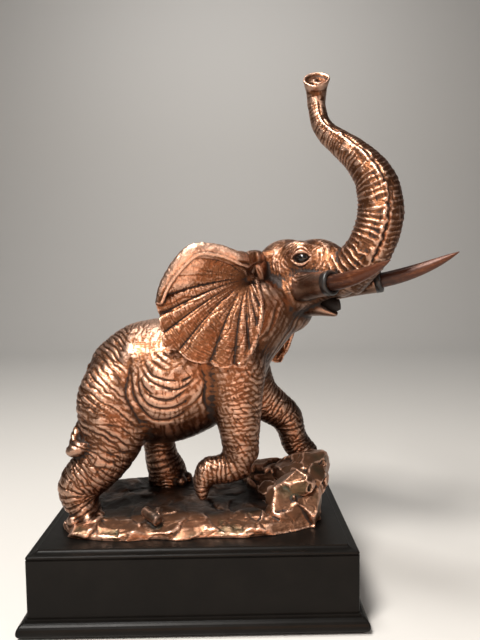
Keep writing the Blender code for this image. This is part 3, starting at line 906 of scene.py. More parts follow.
    def carve(self, skin: Skin) -> None:
        """Lays the folds that spread from the hub, and the short cracks across them."""
        offset = skin.points - np.array(self.hub)
        angle = np.degrees(np.arctan2(-offset[:, 0], offset[:, 2]))
        angle = np.where(angle < -60, angle + 360, angle)
        distance = np.hypot(offset[:, 0], offset[:, 2])
        share = distance / self.reach(angle)
        stand = offset[:, 1] * self.side - self.depth(angle, np.clip(share, 0.0, 1.0))
        flat = smooth_step(5.2, 3.6, np.abs(stand)) * smooth_step(0.1, 0.22, share)
        pleats = self.pleats(angle, share)
        valley = np.exp(-np.abs(pleats - np.round(pleats)) * self.pleat / 0.7)
        fan = smooth_step(66.0, 96.0, angle) * smooth_step(1.08, 1.0, share)
        skin.press(-0.5 * valley * fan * flat * smooth_step(0.0, 0.5, share))
        turn = np.radians(angle)
        spread = Place(turn * 42.0, distance * 0.5, np.sign(stand) * 5.0)
        rays = Creases(4.2, 0.5, 410 + self.side, 0.0, 0.55, 12.0, 0.9, 0.12).read(spread)
        across = Place(distance, turn * 40.0, np.sign(stand) * 5.0)
        ticks = Creases(1.8, 0.34, 430 + self.side, 0.0, 0.5, 2.5, 0.7, 0.17).read(across)
        calm = 1.0 - 0.95 * smooth_step(0.5, 0.72, share) * smooth_step(-0.5, 2.5, stand) * (angle < 96)
        skin.press((rays + ticks) * flat * calm)
        pores = Noise(440).rough(skin.points, 2.4, 2)
        skin.press(0.10 * pores)

    def build(self) -> bpy.types.Mesh:
        """Returns the ear's mesh in the drawing."""
        clay = Clay()
        front, back = self.grid()
        clay.sheet(*((front, back) if self.side > 0 else (back, front)))
        self.flap(clay, (front + back) / 2, front)
        skin = Skin(largest_body(clay.fused(self.voxel, 4)))
        self.carve(skin)
        skin.finish()
        mesh = shaped(skin.mesh, ("TRIANGULATE", {}))
        self.mark(mesh)
        return mesh

    def mark(self, mesh: bpy.types.Mesh) -> None:
        """Writes what the finish reads: relief, a painted highlight on the flap and painted shade round the
        hub.
        """
        skin = Skin(mesh)
        offset = skin.points - np.array(self.hub)
        turn = np.arctan2(-offset[:, 0], offset[:, 2])
        reach = np.hypot(offset[:, 0], offset[:, 2])
        angle = np.degrees(turn) % 360.0
        # Painted highlight on the flap's upper face, where light falls.
        flap_highlight = smooth_step(0.55, 0.75, reach / self.reach(angle)) * smooth_step(104.0, 92.0, angle)
        skin.store_relief(9, 90, 0.85 * flap_highlight)
        # Painted shade round the hub, under the flap.
        skin.store("painted_shade_and_patina", 0.8 * bell(away(skin.points, self.hub), 14.0))
        skin.store_flow([Place(reach, turn * 40.0, offset[:, 1], np.zeros(len(turn)))])


@dataclass(frozen=True)
class Trunk:
    """The trunk, raised in an S with its open tip at the top."""

    stations: tuple[tuple[float, ...], ...] = (
        (44, 0, -2, 17.5, 17.5), (56, 0, 10, 17.4, 17.3), (66, 0, 22, 17.4, 17.2),
        (72, 0, 37, 17.3, 17.0), (74, 0, 51, 17.0, 16.6), (70, 0, 70, 15.4, 15.2),
        (58, 0, 87, 12.8, 12.7), (42, 0, 101, 10.3, 10.2), (32, 0, 109, 8.9, 8.8),
        (25, 0, 118, 7.7, 7.7), (22, 0, 128, 7.1, 7.1), (21, 0, 135, 7.2, 7.2),
        (21, 0, 142, 7.9, 8.1), (22, -2, 147, 9.0, 9.4), (24, -5.5, 151, 10.2, 10.8),
    )
    rings: tuple[float, ...] = (0.0, 13.5, 25.0, 37.0, 52.0)
    rim: float = 2.1
    dish: float = 2.2
    nostril: float = 2.0

    def path(self) -> Path:
        """Returns the path through the trunk's stations."""
        return Path(POSE.rows(*self.stations), POSE.across, 8)

    @staticmethod
    def section(angle: float) -> float:
        """Returns how far the ring stands out: flat in front, with an edge on each side."""
        from_front = abs((angle + math.pi) % math.tau - math.pi)
        edge = math.exp(-(((from_front - math.radians(58)) / 0.24) ** 2))
        flat = math.exp(-((from_front / 0.75) ** 2))
        return 1.0 + 0.055 * edge - 0.075 * flat

    def press(self, clay: Clay) -> None:
        """Adds the trunk, with its hollow tip, to the clay."""
        clay.cup(self.path(), self.rim, self.dish, 40, self.section)

    def carve(self, skin: Skin) -> None:
        """Lays the trunk's rings, its grooved edge and its ladder of ridges."""
        path = self.path()
        place = path.locate(skin.points)
        share = place.along / path.lengths[-1]
        front = np.abs(np.arctan2(place.outward, place.inward))
        size = np.interp(share, (0, 0.35, 0.6, 0.8, 1.0), (1.0, 0.9, 0.65, 0.45, 0.4))
        noise = Noise(77)
        # The rings crowd together as the trunk thins.
        count = np.interp(share, (0, 0.35, 0.6, 0.8, 1.0), self.rings)
        rings = Place(count * 4.0, place.inward, place.outward)
        sharp = smooth_step(0.62, 0.42, share)
        ridges = 0.15 - Creases(4.0, 1.15, 71, 0.0, 0.95, 16.0, 0.3, 0.13).read(rings)
        creases = Creases(4.0, 1.0, 72, 0.0, 0.85, 7.0, 0.6, 0.17).read(rings)
        ladder = -Creases(2.9, 0.9, 73, 0.0, 0.95, 9.0, 0.35, 0.16).read(rings)
        face = smooth_step(1.0, 0.86, front)
        pattern = (ridges * sharp + creases * (1.0 - sharp)) * (1.0 - face) + 0.7 * ladder * face
        cracks = Creases(2.6, 0.4, 74, 0.1, 0.4, 3.0, 0.5, 0.15).read(place.crossed())
        lumps = noise.rough(skin.points, 6.0, 2)
        groove = bell(front - 0.9, 0.075) * smooth_step(0.02, 0.1, share) * smooth_step(0.98, 0.86, share)
        edge = bell(front - 1.07, 0.12) * smooth_step(0.02, 0.12, share) * smooth_step(0.96, 0.84, share)
        calm = smooth_step(0.985, 0.95, share)
        broken = 0.7 + 1.1 * noise.rough(skin.points, 3.5, 1)
        seam = 1.0 * size * edge * (0.8 + 0.6 * lumps) - 1.7 * size * groove * broken
        relief = (size * (pattern + cracks) + 0.25 * lumps * size + seam) * calm
        skin.lay(relief, place.nearness(0.2) * 3.0 * smooth_step(-3.0, 9.0, place.along))
        tip = Vector(path.centres[-1])
        facing = Vector(path.ahead[-1])
        aside = (POSE.across - facing * POSE.across.dot(facing)).normalized()
        floor = skin.normals @ np.array(facing)
        for way in (-1, 1):
            offset = skin.points - np.array(tip + aside * way * 3.3)
            flat = offset - np.outer(offset @ np.array(facing), np.array(facing))
            hole = bell(np.linalg.norm(flat, axis=1), self.nostril) * (floor > 0.3)
            near = bell(offset @ np.array(facing), 9.0)
            skin.press(-3.2 * hole * near)


@dataclass(frozen=True)
class TuskMount:
    """A tusk's places on the head: its root under the skin, its collar and its tip."""

    name: str
    root: tuple[float, float, float]
    collar: tuple[float, float, float]
    tip: tuple[float, float, float]
    sag: float = 5.0
    collar_radius: float = 9.3
    tusk_radius: float = 5.9

    def sleeve(self) -> Path:
        """Returns the path of the sleeve of skin that ends at the collar."""
        radius = self.collar_radius
        middle = tuple((a + b) / 2 for a, b in zip(self.collar, self.root))
        rows = POSE.rows(
            (*self.root, radius * 1.25, radius * 1.15),
            (*middle, radius * 1.06, radius * 1.03),
            (*self.collar, radius, radius),
        )
        return Path(rows, POSE.across, 8)

    def centres(self, steps: int) -> np.ndarray:
        """Returns points along the tusk from its collar to its tip, in the drawing."""
        start = np.array(POSE.at(*self.collar))
        end = np.array(POSE.at(*self.tip))
        bend = (start + end) / 2 - np.array(UP) * self.sag
        t = np.linspace(0.0, 1.0, steps)[:, None]
        return start * (1 - t) ** 2 + bend * 2 * t * (1 - t) + end * t**2


MOUNTS = (
    TuskMount("right", (16, -19, -7), (46, -27, -4), (95.5, -40, 11)),
    TuskMount("left", (22, 18, -8), (63, 25, -3), (119.5, 40, 18)),
)


@dataclass(frozen=True)
class Eye:
    """An eye: a dark ball between two lids, with wrinkles round it."""

    side: int
    forward: float = 17.5
    out: float = 19.0
    up: float = 15.0
    length: float = 6.9
    height: float = 4.3
    ball: float = 5.8

    def centre(self) -> Vector:
        """Returns the middle of the eye's opening."""
        return POSE.at(self.forward, self.side * self.out, self.up)

    def carve(self, skin: Skin) -> None:
        """Sinks the opening, raises the lids and lays wrinkles round them."""
        local = POSE.local(skin.points) - np.array((self.forward, self.side * self.out, self.up))
        u = local[:, 0]
        v = local[:, 2] - 0.10 * u
        own = bell(np.maximum(local[:, 1] * -self.side, 0.0), 12.0) * (local[:, 1] * self.side > -14)
        bow = np.maximum(1.0 - (u / self.length) ** 2, 0.06)
        span = np.hypot(v / (self.height * bow**0.6), np.maximum(np.abs(u) - self.length * 0.8, 0) / 2.2)
        opening = smooth_step(1.05, 0.75, span)
        lids = bell(span - 1.28, 0.18) * smooth_step(9.5, 7.0, np.abs(u))
        gap = bell(span - 1.62, 0.13) * smooth_step(10.0, 7.0, np.abs(u))
        upper = bell(span - 1.95, 0.2) * (v > 0) * smooth_step(10.5, 6.0, np.abs(u))
        skin.press(own * (0.4 * lids + 0.6 * upper - 0.7 * gap - 2.0 * opening))
        distance = np.hypot(u * 0.85, v)
        rings = Place(distance, np.arctan2(v, u) * 11.0, np.full(len(u), self.side * 9.0))
        near = smooth_step(8.5, 11.0, distance) * smooth_step(22.0, 14.0, distance)
        skin.press(own * near * Creases(2.5, 0.6, 210, 0.0, 0.75, 6.0, 0.6, 0.16).read(rings))


class Head:
    """Skull, cheeks, jaw, throat and all that grows from them."""

    def __init__(self) -> None:
        """Sets out the ears, the trunk and the eyes."""
        self.trunk = Trunk()
        self.ears = (
            Ear(POSE.at(-15.4, -42.5, 0), -1, 0.0),
            Ear(POSE.at(-22, 26, -4), 1, 6.0),
        )
        self.eyes = (Eye(-1), Eye(1))
        self.jaw = Limb(
            POSE.rows(
                (2, 0, -18, 18, 18), (14, 0, -20, 12.5, 14), (22, 0, -22.5, 8.5, 10.5),
                (30, -0.5, -25.5, 5.2, 7.5), (38, -1, -28.5, 2.2, 3),
            ),
            across=POSE.across,
        )
        self.muzzle = Limb(
            POSE.rows((12, 0, 2, 22, 20), (30, 0, 2, 20.5, 19), (48, 0, 4, 18, 17.5)),
            Hide(2.8, 0.5, 61),
            POSE.across,
        )
        self.neck = Limb(
            [(66, 2, 176, 30, 27), (76, 0, 167, 24, 23), (88, -8, 166, 16, 17)],
        )
        self.skull = Path(
            [(58, 4, 180, 27, 25), (70, 2, 192, 28, 26), (88, -8, 196, 28, 24), (104, -19, 198, 24, 20)],
            POSE.across,
        )

    def flesh(self, clay: Clay) -> None:
        """Adds the skull, the cheeks and the brows."""
        for forward, left, up, radii in (
            (-6, 0, 7, (27, 25, 25)),
            (20, 0, 12, (26, 19, 19)),
            (10, 0, -8, (26, 21, 20)),
        ):
            clay.ball(POSE.at(forward, left, up), radii, turn=-POSE.turn)
        self.neck.press(clay)
        self.muzzle.press(clay)
        for side in (-1, 1):
            for forward, left, up, radii in (
                (6, 15, -12, (20, 11, 16)),
                (12, 14, 19, (15, 9, 11)),
                (17, 19.5, 15, (5.5, 4.2, 4.4)),
            ):
                clay.ball(POSE.at(forward, side * left, up), radii, turn=-POSE.turn)

    def press(self, clay: Clay) -> None:
        """Adds the trunk, the jaw, the tusks' sleeves and the ears."""
        self.trunk.press(clay)
        self.jaw.press(clay)
        for mount in MOUNTS:
            clay.cup(mount.sleeve(), 2.0, 2.2, 32)
        for ear in self.ears:
            ear.press_root(clay)

    def mouth(self) -> bpy.types.Mesh:
        """Returns the form of the hollow between the jaw and the roots of the tusks."""
        hollow = Clay()
        rows = POSE.rows(
            (2, -1, -17, 4, 6), (12, -1, -18, 6.5, 8), (22, -1, -19, 7.2, 8),
            (31, -1, -20.5, 7.4, 5.8), (43, -1, -20, 9, 5),
        )
        hollow.limb(Path(rows, POSE.across, 4))
        return mesh_from(hollow.bm, "mouth")

    def shade_sheet(self) -> bpy.types.Mesh:
        """Returns the mesh of a dark sheet of painted shade inside the mouth, between the jaw and the trunk.
        """
        rows = POSE.rows(
            (6, 0, -20, 7, 3), (20, 0, -21, 8, 3), (32, 0, -22, 6.5, 2.6), (40.5, 0, -21, 4.0, 1.6),
        )
        clay = Clay()
        clay.limb(Path(rows, POSE.across, 6))
        return mesh_from(clay.bm, "mouth_painted_shade")

    def carve(self, skin: Skin) -> None:
        """Lays the wrinkles of the face, the cheeks and the throat."""
        self.muzzle.carve(skin)
        self.carve_face(skin)
        self.trunk.carve(skin)
        for eye in self.eyes:
            eye.carve(skin)
        self.carve_throat(skin)

    def carve_face(self, skin: Skin) -> None:
        """Lays short wrinkles that fall down the cheeks and lean back on the brow."""
        forward, left, up = POSE.local(skin.points).T
        cheek = Creases(2.5, 0.62, 52, 0.0, 0.75, 7.0, 0.35).read(Place(forward + 0.35 * up, up, left))
        brow = Creases(2.4, 0.55, 53, 0.0, 0.7, 6.0, 0.35).read(Place(forward - 0.7 * up, up, left))
        crossing = Creases(2.4, 0.4, 54, 0.0, 0.4, 4.0, 0.4).read(Place(up + 0.3 * forward, forward, left))
        high = smooth_step(6.0, 15.0, up)
        own = self.skull.locate(skin.points).nearness(0.28)
        for ear in self.ears:
            own = np.maximum(own, bell(away(skin.points, ear.hub + Vector((9, 0, -3))), 16.0))
        skin.lay(np.minimum(cheek * (1.0 - high) + brow * high, crossing), own)

    def carve_throat(self, skin: Skin) -> None:
        """Lays long soft folds from the jaw down to the chest."""
        x, y, z = skin.points.T
        own = smooth_step(40, 52, x) * smooth_step(92, 80, x)
        own *= smooth_step(110, 126, z) * smooth_step(178, 160, z)
        lean = (x - 60) - 0.55 * (z - 150) + 0.4 * y
        long = Creases(6.4, 1.2, 33, 0.0, 0.75, 22.0, 1.0, 0.24).read(Place(lean, z * 0.6, y * 0.5))
        short = Creases(2.8, 0.4, 34, 0.0, 0.5, 9.0).read(Place(lean, z, y))
        skin.lay(long + short, own * 1.8)


# The body and the legs


class Body:
    """Rump, barrel and chest, the four legs and the tail."""

    def __init__(self) -> None:
        """Sets out the limbs with their hides, the folds and the toenails."""
        self.torso = Limb(
            [
                (-77, -2, 100, 25, 22), (-66, -1, 104, 38, 33), (-49, 0, 106.5, 48.5, 40),
                (-25, 0, 108, 51.5, 44), (0, 0, 115, 47, 43), (20, 0, 127, 41, 40),
                (34, 0, 144, 35, 37), (53, -1, 165, 33, 33), (66, -2, 181, 28, 28),
            ],
            Hide(4.2, 0.45, 5, 0.3, 0.2),
            sides=32,
        )
        self.legs = (
            Limb(
                [
                    (-51, -12, 116, 26, 16), (-61, -23, 100, 31, 22), (-63, -27, 78, 29, 20),
                    (-68, -29, 60, 23.5, 17), (-79, -31, 44, 20, 15.5), (-91, -32, 32, 16.5, 14.5),
                    (-90, -32, 21, 14, 15), (-85, -33, 12, 12, 15), (-82, -34, 5, 10, 14.5),
                ],
                Hide(4.0, 1.15, 7, length=20.0, slant=0.3),
            ),
            Limb(
                [
                    (-45, 18, 95, 30, 20), (-38, 22, 70, 20, 17), (-35, 24, 50, 14.5, 14),
                    (-33, 25, 35, 15, 14.5), (-29, 26, 24, 17.5, 16), (-28, 26, 10, 18, 16.5),
                ],
                Hide(3.8, 1.0, 11),
            ),
            Limb(
                [
                    (22, -16, 152, 24, 20), (29, -24, 124, 27, 21), (32, -28, 98, 21.5, 19),
                    (34, -30, 78, 17.5, 17), (35, -31, 62, 15, 15), (36, -31, 50, 14, 14),
                ],
                Hide(3.7, 0.75, 15, 0.0, 0.7, 8.0, 0.6),
            ),
            Limb(
                [
                    (38, -31, 49, 13.5, 14), (25, -31, 43, 12, 12.5), (14, -31, 42, 11.5, 11.5),
                    (6, -31, 42, 11, 11.5),
                ],
                Hide(3.7, 1.15, 19, length=20.0, slant=0.3),
            ),
            Limb(
                [(9, -31, 45, 9.5, 12), (5, -31, 33, 8, 11.5), (5, -32, 24, 5.5, 9.5), (6, -32, 19, 3.5, 7)],
                Hide(3.2, 0.9, 23),
            ),
            Limb(
                [
                    (36, 12, 110, 28, 20), (50, 16, 91, 20, 17), (63, 19, 81, 16.5, 15.5),
                    (75, 21, 71, 14.5, 14.5), (79, 21, 60, 12.5, 13.5), (82, 21, 50, 12.5, 13),
                    (88, 21, 42, 12.5, 13), (94, 20, 35, 12.5, 13),
                ],
                Hide(3.8, 1.1, 27),
            ),
        )
        self.hollows = (
            ((-47, 138), (-49, 124), (-51, 112), (-50, 103), (-46, 94), (-42, 85), (-38, 74)),
            ((5, 128), (9, 112), (8, 98), (12, 86)),
        )
        self.flank_folds = (
            ((-48, 121), (-45, 103), (-34, 86.5), (-23, 83.8), (-11, 87.2), (-2, 95)),
            (
                (-42, 123), (-41.5, 110), (-38.5, 101.5), (-32, 95.5),
                (-24, 93.3), (-15, 94), (-8, 97), (-2.5, 101.5),
            ),
            ((-39.5, 117), (-36, 106.5), (-30, 102.3), (-22, 100), (-15, 100.8), (-8, 105.6), (-2.5, 110)),
            ((-38.5, 112), (-35, 107.6), (-31, 104.6)),
            (
                (-40, 126), (-35, 116.7), (-29.5, 113), (-22, 110),
                (-14, 107.6), (-6.5, 110), (0.4, 116), (0.8, 120.5),
            ),
            ((-38.5, 130), (-31.7, 119.7), (-23.3, 116), (-17, 114.4), (-11, 115.2)),
            ((-9, 114), (-5, 115.4), (-1.5, 117.8)),
            ((-34, 131), (-28.3, 126.5), (-22, 122.7), (-17, 122.2)),
            ((-30, 135.6), (-24, 130.3), (-15.6, 124.5)),
            ((-23.3, 135.6), (-19, 132.4), (-15.6, 130)),
            ((8, 109), (5.8, 102.3), (0, 96.3)),
        )
        # The rump's wrinkles run on from the thigh, over the hip to the back.
        self.rump = Limb(
            [(-66, -20, 78, 34, 26), (-60, -12, 104, 40, 34), (-48, -6, 130, 38, 34), (-38, 0, 156, 30, 30)],
            Hide(4.7, 1.5, 31, 0.4, 0.25, 26.0, 0.22, 0.4),
            fade=0.3,
        )
        self.tail = Limb(
            [
                (-84, -5, 122, 4, 4), (-87.5, -14, 102, 3.6, 3.6), (-88, -24, 84, 3.6, 3.6),
                (-92, -32, 72, 3.8, 3.8), (-92, -37, 64, 4.5, 4.5),
            ],
            Hide(2.6, 0.4, 35),
            sides=12,
        )
        self.toes = (
            ((-92, -43, 8), 6.0), ((-81, -44, 9), 5.5), ((-75, -36, 9), 5.0),
            ((-16, 15, 18), 5.5), ((-12, 26, 17), 5.5), ((-17, 37, 17), 5.0),
            ((100, 11, 35), 5.0), ((104, 20, 34), 5.0), ((100, 29, 35), 5.0),
        )

    def flesh(self, clay: Clay) -> None:
        """Adds the torso, the hips, the shoulders and the legs."""
        self.torso.press(clay)
        clay.ball((-25, 0, 103), (47, 46, 46.5), lean=-0.12)
        for side in (-1, 1):
            clay.ball((-62, side * 18, 92), (28, 22, 38))
            clay.ball((30, side * 18, 122), (24, 20, 34))
        for leg in self.legs:
            leg.press(clay)

    def press(self, clay: Clay) -> None:
        """Adds the toenails and the tail with its brush."""
        for centre, radius in self.toes:
            clay.ball(centre, (radius, radius, radius))
        self.tail.press(clay)
        clay.ball((-88.5, -40, 63), (9.5, 8, 6.5), lean=-0.3)

    def carve(self, skin: Skin) -> None:
        """Lays the hide of the barrel, the rump and every limb."""
        x, _, z = skin.points.T
        self.torso.carve(skin)
        for leg in self.legs:
            leg.carve(skin)
        self.tail.carve(skin)
        place = self.rump.path().locate(skin.points)
        own = smooth_step(-44, -54, x + 0.15 * (z - 110)) * smooth_step(60, 78, z)
        skin.lay(self.rump.hide.read(place), own * 3.0)
        self.carve_flank(skin)
        self.carve_bones(skin)

    def carve_flank(self, skin: Skin) -> None:
        """Lays the folds that hang in nested curves from the flank, on both sides."""
        x, y, z = skin.points.T
        own = smooth_step(14.0, 26.0, np.abs(y)) * smooth_step(14.0, 6.0, x) * smooth_step(-56.0, -50.0, x)
        distance = np.hypot((x + 20.0) * 1.15, 140.0 - z)
        turn = np.arctan2(x + 20.0, 140.0 - z)
        region = own * smooth_step(62.0, 56.0, distance) * smooth_step(150.0, 138.0, z)
        radial = Place(turn * 40.0, distance, y * 0.2)
        ticks = Creases(3.1, 0.42, 96, 0.1, 0.45, 3.2, 0.6, 0.15).read(radial)
        rolls = Creases(3.6, 0.3, 97, 0.0, 0.45, 12.0).read(Place(distance, turn * 40.0, y * 0.2))
        skin.lay(ticks + rolls + 0.25, region * 6.0)
        skin.folds(self.flank_folds[:7], region, 0.95, 1.6)
        skin.folds(self.flank_folds[7:], region, 0.8, 0.9)
        sides = smooth_step(12.0, 22.0, np.abs(y))
        skin.folds(self.hollows, sides, 6.0, 2.2)
        skin.folds([curve[1:] for curve in self.hollows], sides, 0.9, 0.8)

    def carve_bones(self, skin: Skin) -> None:
        """Raises the bones that show under the hide."""
        for centre, radius, height in (
            ((-50, -33, 136), 6.5, 1.8),
            ((-71, -46, 82), 7.0, 1.6),
            ((-64, -35, 121), 9.0, 1.2),
            ((36, -45, 56), 7.0, 1.2),
            ((86, 9, 60), 6.0, 1.0),
        ):
            skin.bump(centre, radius, height)


class Elephant:
    """The cast animal, in one skin."""

    flesh_voxel = 2.2
    skin_voxel = 0.75
    triangles = 197_000

    def __init__(self) -> None:
        """Sets out the head and the body."""
        self.head = Head()
        self.body = Body()

    def build(self) -> bpy.types.Mesh:
        """Returns the animal's mesh in the drawing, carved and reduced."""
        flesh = Clay()
        self.body.flesh(flesh)
        self.head.flesh(flesh)
        clay = Clay()
        clay.bm.from_mesh(flesh.fused(self.flesh_voxel, 14))
        self.head.press(clay)
        self.body.press(clay)
        mesh = largest_body(clay.fused(self.skin_voxel, 8))
        mesh = subtracted(mesh, self.head.mouth())
        skin = Skin(mesh)
        self.body.carve(skin)
        self.head.carve(skin)
        skin.finish()
        mesh = reduced(mesh, self.triangles)
        self.mark(mesh)
        return mesh

    def mark(self, mesh: bpy.types.Mesh) -> None:
        """Writes what the finish reads: relief, painted highlights, and painted shade that darkens the
        casting.
        """
        skin = Skin(mesh)
        tip = self.head.trunk.path().centres[-1]
        # Painted highlight: the patina is lifted off the trunk's tip, the back and the hip, so that they read
        # bright where light falls.
        painted_highlight = 0.8 * bell(away(skin.points, tip), 11.0)
        for centre, radius in (((-33, -12, 152), 22.0), ((-50, -33, 136), 9.0)):
            painted_highlight = np.maximum(painted_highlight, 0.6 * bell(away(skin.points, centre), radius))
        skin.store_relief(painted_highlight=painted_highlight)
        limbs = [self.body.torso.path(), *(leg.path() for leg in self.body.legs), self.body.rump.path()]
        places = [path.locate(skin.points) for path in (*limbs, self.head.trunk.path(), self.head.skull)]
        skin.store_flow(places)
        # Painted shade inside the mouth, on the tusks' sleeves and round the ears' roots.
        mouth = Path(POSE.rows((2, -1, -17, 5, 7), (22, -1, -19, 8, 9), (40, -1, -20, 9, 6)), POSE.across)
        inside = smooth_step(1.12, 0.98, mouth.locate(skin.points).ratio)
        inside *= POSE.local(skin.points)[:, 0] < 38
        for mount in MOUNTS:
            sleeve = mount.sleeve().locate(skin.points)
            own = smooth_step(1.35, 1.1, sleeve.ratio) * smooth_step(-2.0, 10.0, sleeve.along)
            inside = np.maximum(inside, 0.74 * own)
        for ear in self.head.ears:
            inside = np.maximum(inside, 0.9 * bell(away(skin.points, ear.hub + Vector((8, 0, -3))), 13.0))
        # Painted shade: darker low down, on the far legs, on faces that turn downward and on the throat under
        # the head.
        x, y, z = skin.points.T
        low = 0.43 * smooth_step(124.0, 60.0, z)
        low += 0.42 * smooth_step(4.0, 16.0, y) * smooth_step(96.0, 80.0, z)
        low += 0.3 * smooth_step(0.1, -0.7, skin.blurred(skin.normals[:, 2], 8))
        low += 0.52 * smooth_step(46.0, 58.0, x) * smooth_step(200.0, 178.0, z) * smooth_step(96.0, 112.0, z)
        skin.store("painted_shade_and_patina", np.maximum(inside, np.minimum(low, 0.74)))


# The ground and its stones


class Ground:
    """The slab of rock that the animal walks on, and the boulder under its forefoot."""

    voxel = 0.9
    triangles = 130_000
    facets = 190
    log = (-32.0, -51.5, 14.5)
    outline = (
        (-99, -38), (-91, -48), (-75, -59), (-55, -63), (-35, -60), (-12, -63), (10, -58),
        (35, -60), (58, -55), (76, -52), (88, -44), (97, -12), (98, 15), (89, 38), (66, 48),
        (40, 50), (12, 46), (-14, 52), (-42, 49), (-62, 51), (-82, 41), (-96, 15), (-101, -15),
    )
    levels = ((-6, 0.99), (2, 1.02), (6, 1.0), (9, 0.93), (11, 0.8), (12.5, 0.55), (13.5, 0.25))
    stones = (
        Stone((86, -5, 32), (24, 31, 14), 3, 18, -0.25, 0.2),
        Stone((100, -2, 37), (11, 16, 12), 29, 14),
        Stone((58, -20, 20), (10, 10, 10), 31, 12),
        Stone((76, -28, 29), (21, 14, 11.5), 45, 13, -0.45, -0.25),
        Stone((62, -36, 22), (11, 8, 9), 47, 12, -0.3, 0.2),
        Stone((93, 8, 20), (16, 22, 17), 5, 15, 0.1),
        Stone((72, -37, 11), (19, 15, 16), 7, 15, 0.0, 0.4),
        Stone((89, -30, 11), (13, 18, 15), 9, 14, 0.2, -0.3),
        Stone((58, 18, 17), (25, 28, 19), 13, 16),
        Stone((85, 22, 17), (20, 25, 20), 15, 16, 0.0, 0.5),
        Stone((-30, 30, 6), (26, 20, 8), 17, 16),
        Stone((-66, 24, 7), (26, 24, 10), 19, 15, 0.0, 0.3),
        Stone((-85, -34, 2), (20, 22, 8), 21, 15),
        Stone((5, 12, 7), (30, 28, 9), 23, 16),
        Stone((42, -38, 6), (17, 15, 8), 25, 14, 0.0, 0.3),
        Stone((-78, -47, 3), (20, 14, 8), 27, 14, 0.0, 0.5),
        Stone((-47, -53, 2), (16, 11, 7.5), 33, 13),
        Stone((-17, -54, 2), (15, 10, 7), 35, 13, 0.0, 0.2),
        Stone((12, -49, 3), (15, 10, 6.5), 37, 13, 0.0, -0.2),
        Stone((40, -51, 3), (14, 10, 7), 39, 13),
        Stone((-20, -32, 10), (16, 10, 5), 41, 13, 0.0, 0.4),
    )

    def press(self, clay: Clay) -> None:
        """Adds the slab, with an uneven edge and a ridge at the back, and the stones."""
        chance = random.Random(11)
        rings = []
        for height, share in self.levels:
            ring = []
            for x, y in self.outline:
                wander = chance.uniform(-0.018, 0.018)
                rise = 0.0 if height < 6 else chance.uniform(-1.2, 1.2) + y * 0.035 * share
                ring.append(clay.bm.verts.new((x * (share + wander), y * (share + wander), height + rise)))
            rings.append(ring)
        join_rings(clay.bm, rings)
        clay.bm.faces.new(rings[0][::-1])
        clay.bm.faces.new(rings[-1])
        for stone in self.stones:
            clay.stone(stone)
        log = [(-38, -46, 16.5, 4.2, 4.2), (-26.5, -57, 12.5, 4.4, 4.4)]
        clay.limb(Path(log, BESIDE, 2), 14)

    def chip(self, skin: Skin) -> None:
        """Breaks the surface into flat facets that meet in crisp edges."""
        chance = np.random.default_rng(5)
        drift = np.stack([Noise(70 + axis).rough(skin.points, 9.0, 2) for axis in range(3)], axis=1)
        # Points that face another way belong to another facet, so that none folds over an edge.
        places = np.hstack([skin.points + drift * 1.6, skin.blurred(skin.normals, 6) * 13.0])
        seeds = places[chance.choice(len(places), self.facets, replace=False)]
        nearest = np.zeros(len(places), dtype=np.int64)
        best = np.full(len(places), np.inf)
        for number, seed in enumerate(seeds):
            distance = np.linalg.norm(places - seed, axis=1)
            better = distance < best
            best[better] = distance[better]
            nearest[better] = number
        moved = skin.points.copy()
        x, _, z = skin.points.T
        boulder = np.maximum(smooth_step(46.0, 56.0, x), smooth_step(15.0, 19.0, z))
        # The log stays round.
        whole = smooth_step(9.0, 13.0, away(skin.points, self.log))
        for number in range(len(seeds)):
            own = nearest == number
            if own.any():
                facing = skin.normals[own].mean(axis=0) + chance.normal(0.0, 0.13, 3)
                facing /= np.linalg.norm(facing)
                stand = (skin.points[own] - skin.points[own].mean(axis=0)) @ facing
                amount = (0.35 + 0.45 * boulder[own]) * whole[own]
                moved[own] -= np.outer(np.clip(stand, -3.5, 3.5) * amount, facing)
        skin.points = skin.blurred(moved, 1)
        skin.mesh.vertices.foreach_set("co", skin.points.ravel())
        skin.mesh.update()
        skin.mesh.vertex_normals.foreach_get("vector", skin.normals.ravel())

    def carve(self, skin: Skin) -> None:
        """Lays shallow ripples on the facets and a few cracks between them."""
        broad = Noise(12).rough(skin.points, 11.0, 2)
        pits = Noise(13).rough(skin.points, 3.2, 2)
        cracks = bell(Noise(14).rough(skin.points, 16.0, 2), 0.05)
        skin.press(0.25 * broad + 0.10 * pits - 0.3 * cracks)

    def build(self) -> bpy.types.Mesh:
        """Returns the rock's mesh in the drawing, carved and cut flat below."""
        clay = Clay()
        self.press(clay)
        mesh = largest_body(clay.fused(self.voxel, 2))
        skin = Skin(mesh)
        self.chip(skin)
        self.carve(skin)
        skin.finish()
        low = bmesh.new()
        reach = 400.0
        place = Matrix.Translation(UP * (SEAT - reach / 2)) @ Matrix.Scale(reach, 4)
        bmesh.ops.create_cube(low, size=1.0, matrix=place)
        mesh = reduced(subtracted(mesh, mesh_from(low, "below")), self.triangles)
        self.mark(mesh)
        return mesh

    def mark(self, mesh: bpy.types.Mesh) -> None:
        """Writes what the finish reads: relief, the middle darkened by painted shade and patina, and green
        stains.
        """
        skin = Skin(mesh)
        skin.store_relief()
        x, y, z = skin.points.T
        noise = Noise(64)
        patch = noise.rough(skin.points, 14.0, 3)
        # The slab's middle behind its front ridge, and the log, are darkened: partly painted shade, partly
        # patina.
        inner = smooth_step(-46.0, -36.0, y) * smooth_step(24.0, 14.0, z) * smooth_step(70.0, 55.0, x)
        inner = np.maximum(inner, 0.7 * smooth_step(12.0, 9.0, away(skin.points, self.log)))
        skin.store("painted_shade_and_patina", np.clip(inner * (0.95 + 0.3 * patch), 0.0, 1.0))
        skin.store_flow([Place(z, x, y, np.zeros(len(x)))])
        skin.store("green", smooth_step(0.30, 1.30, patch + 0.25 * smooth_step(-30, -60, y)))


# Finishes


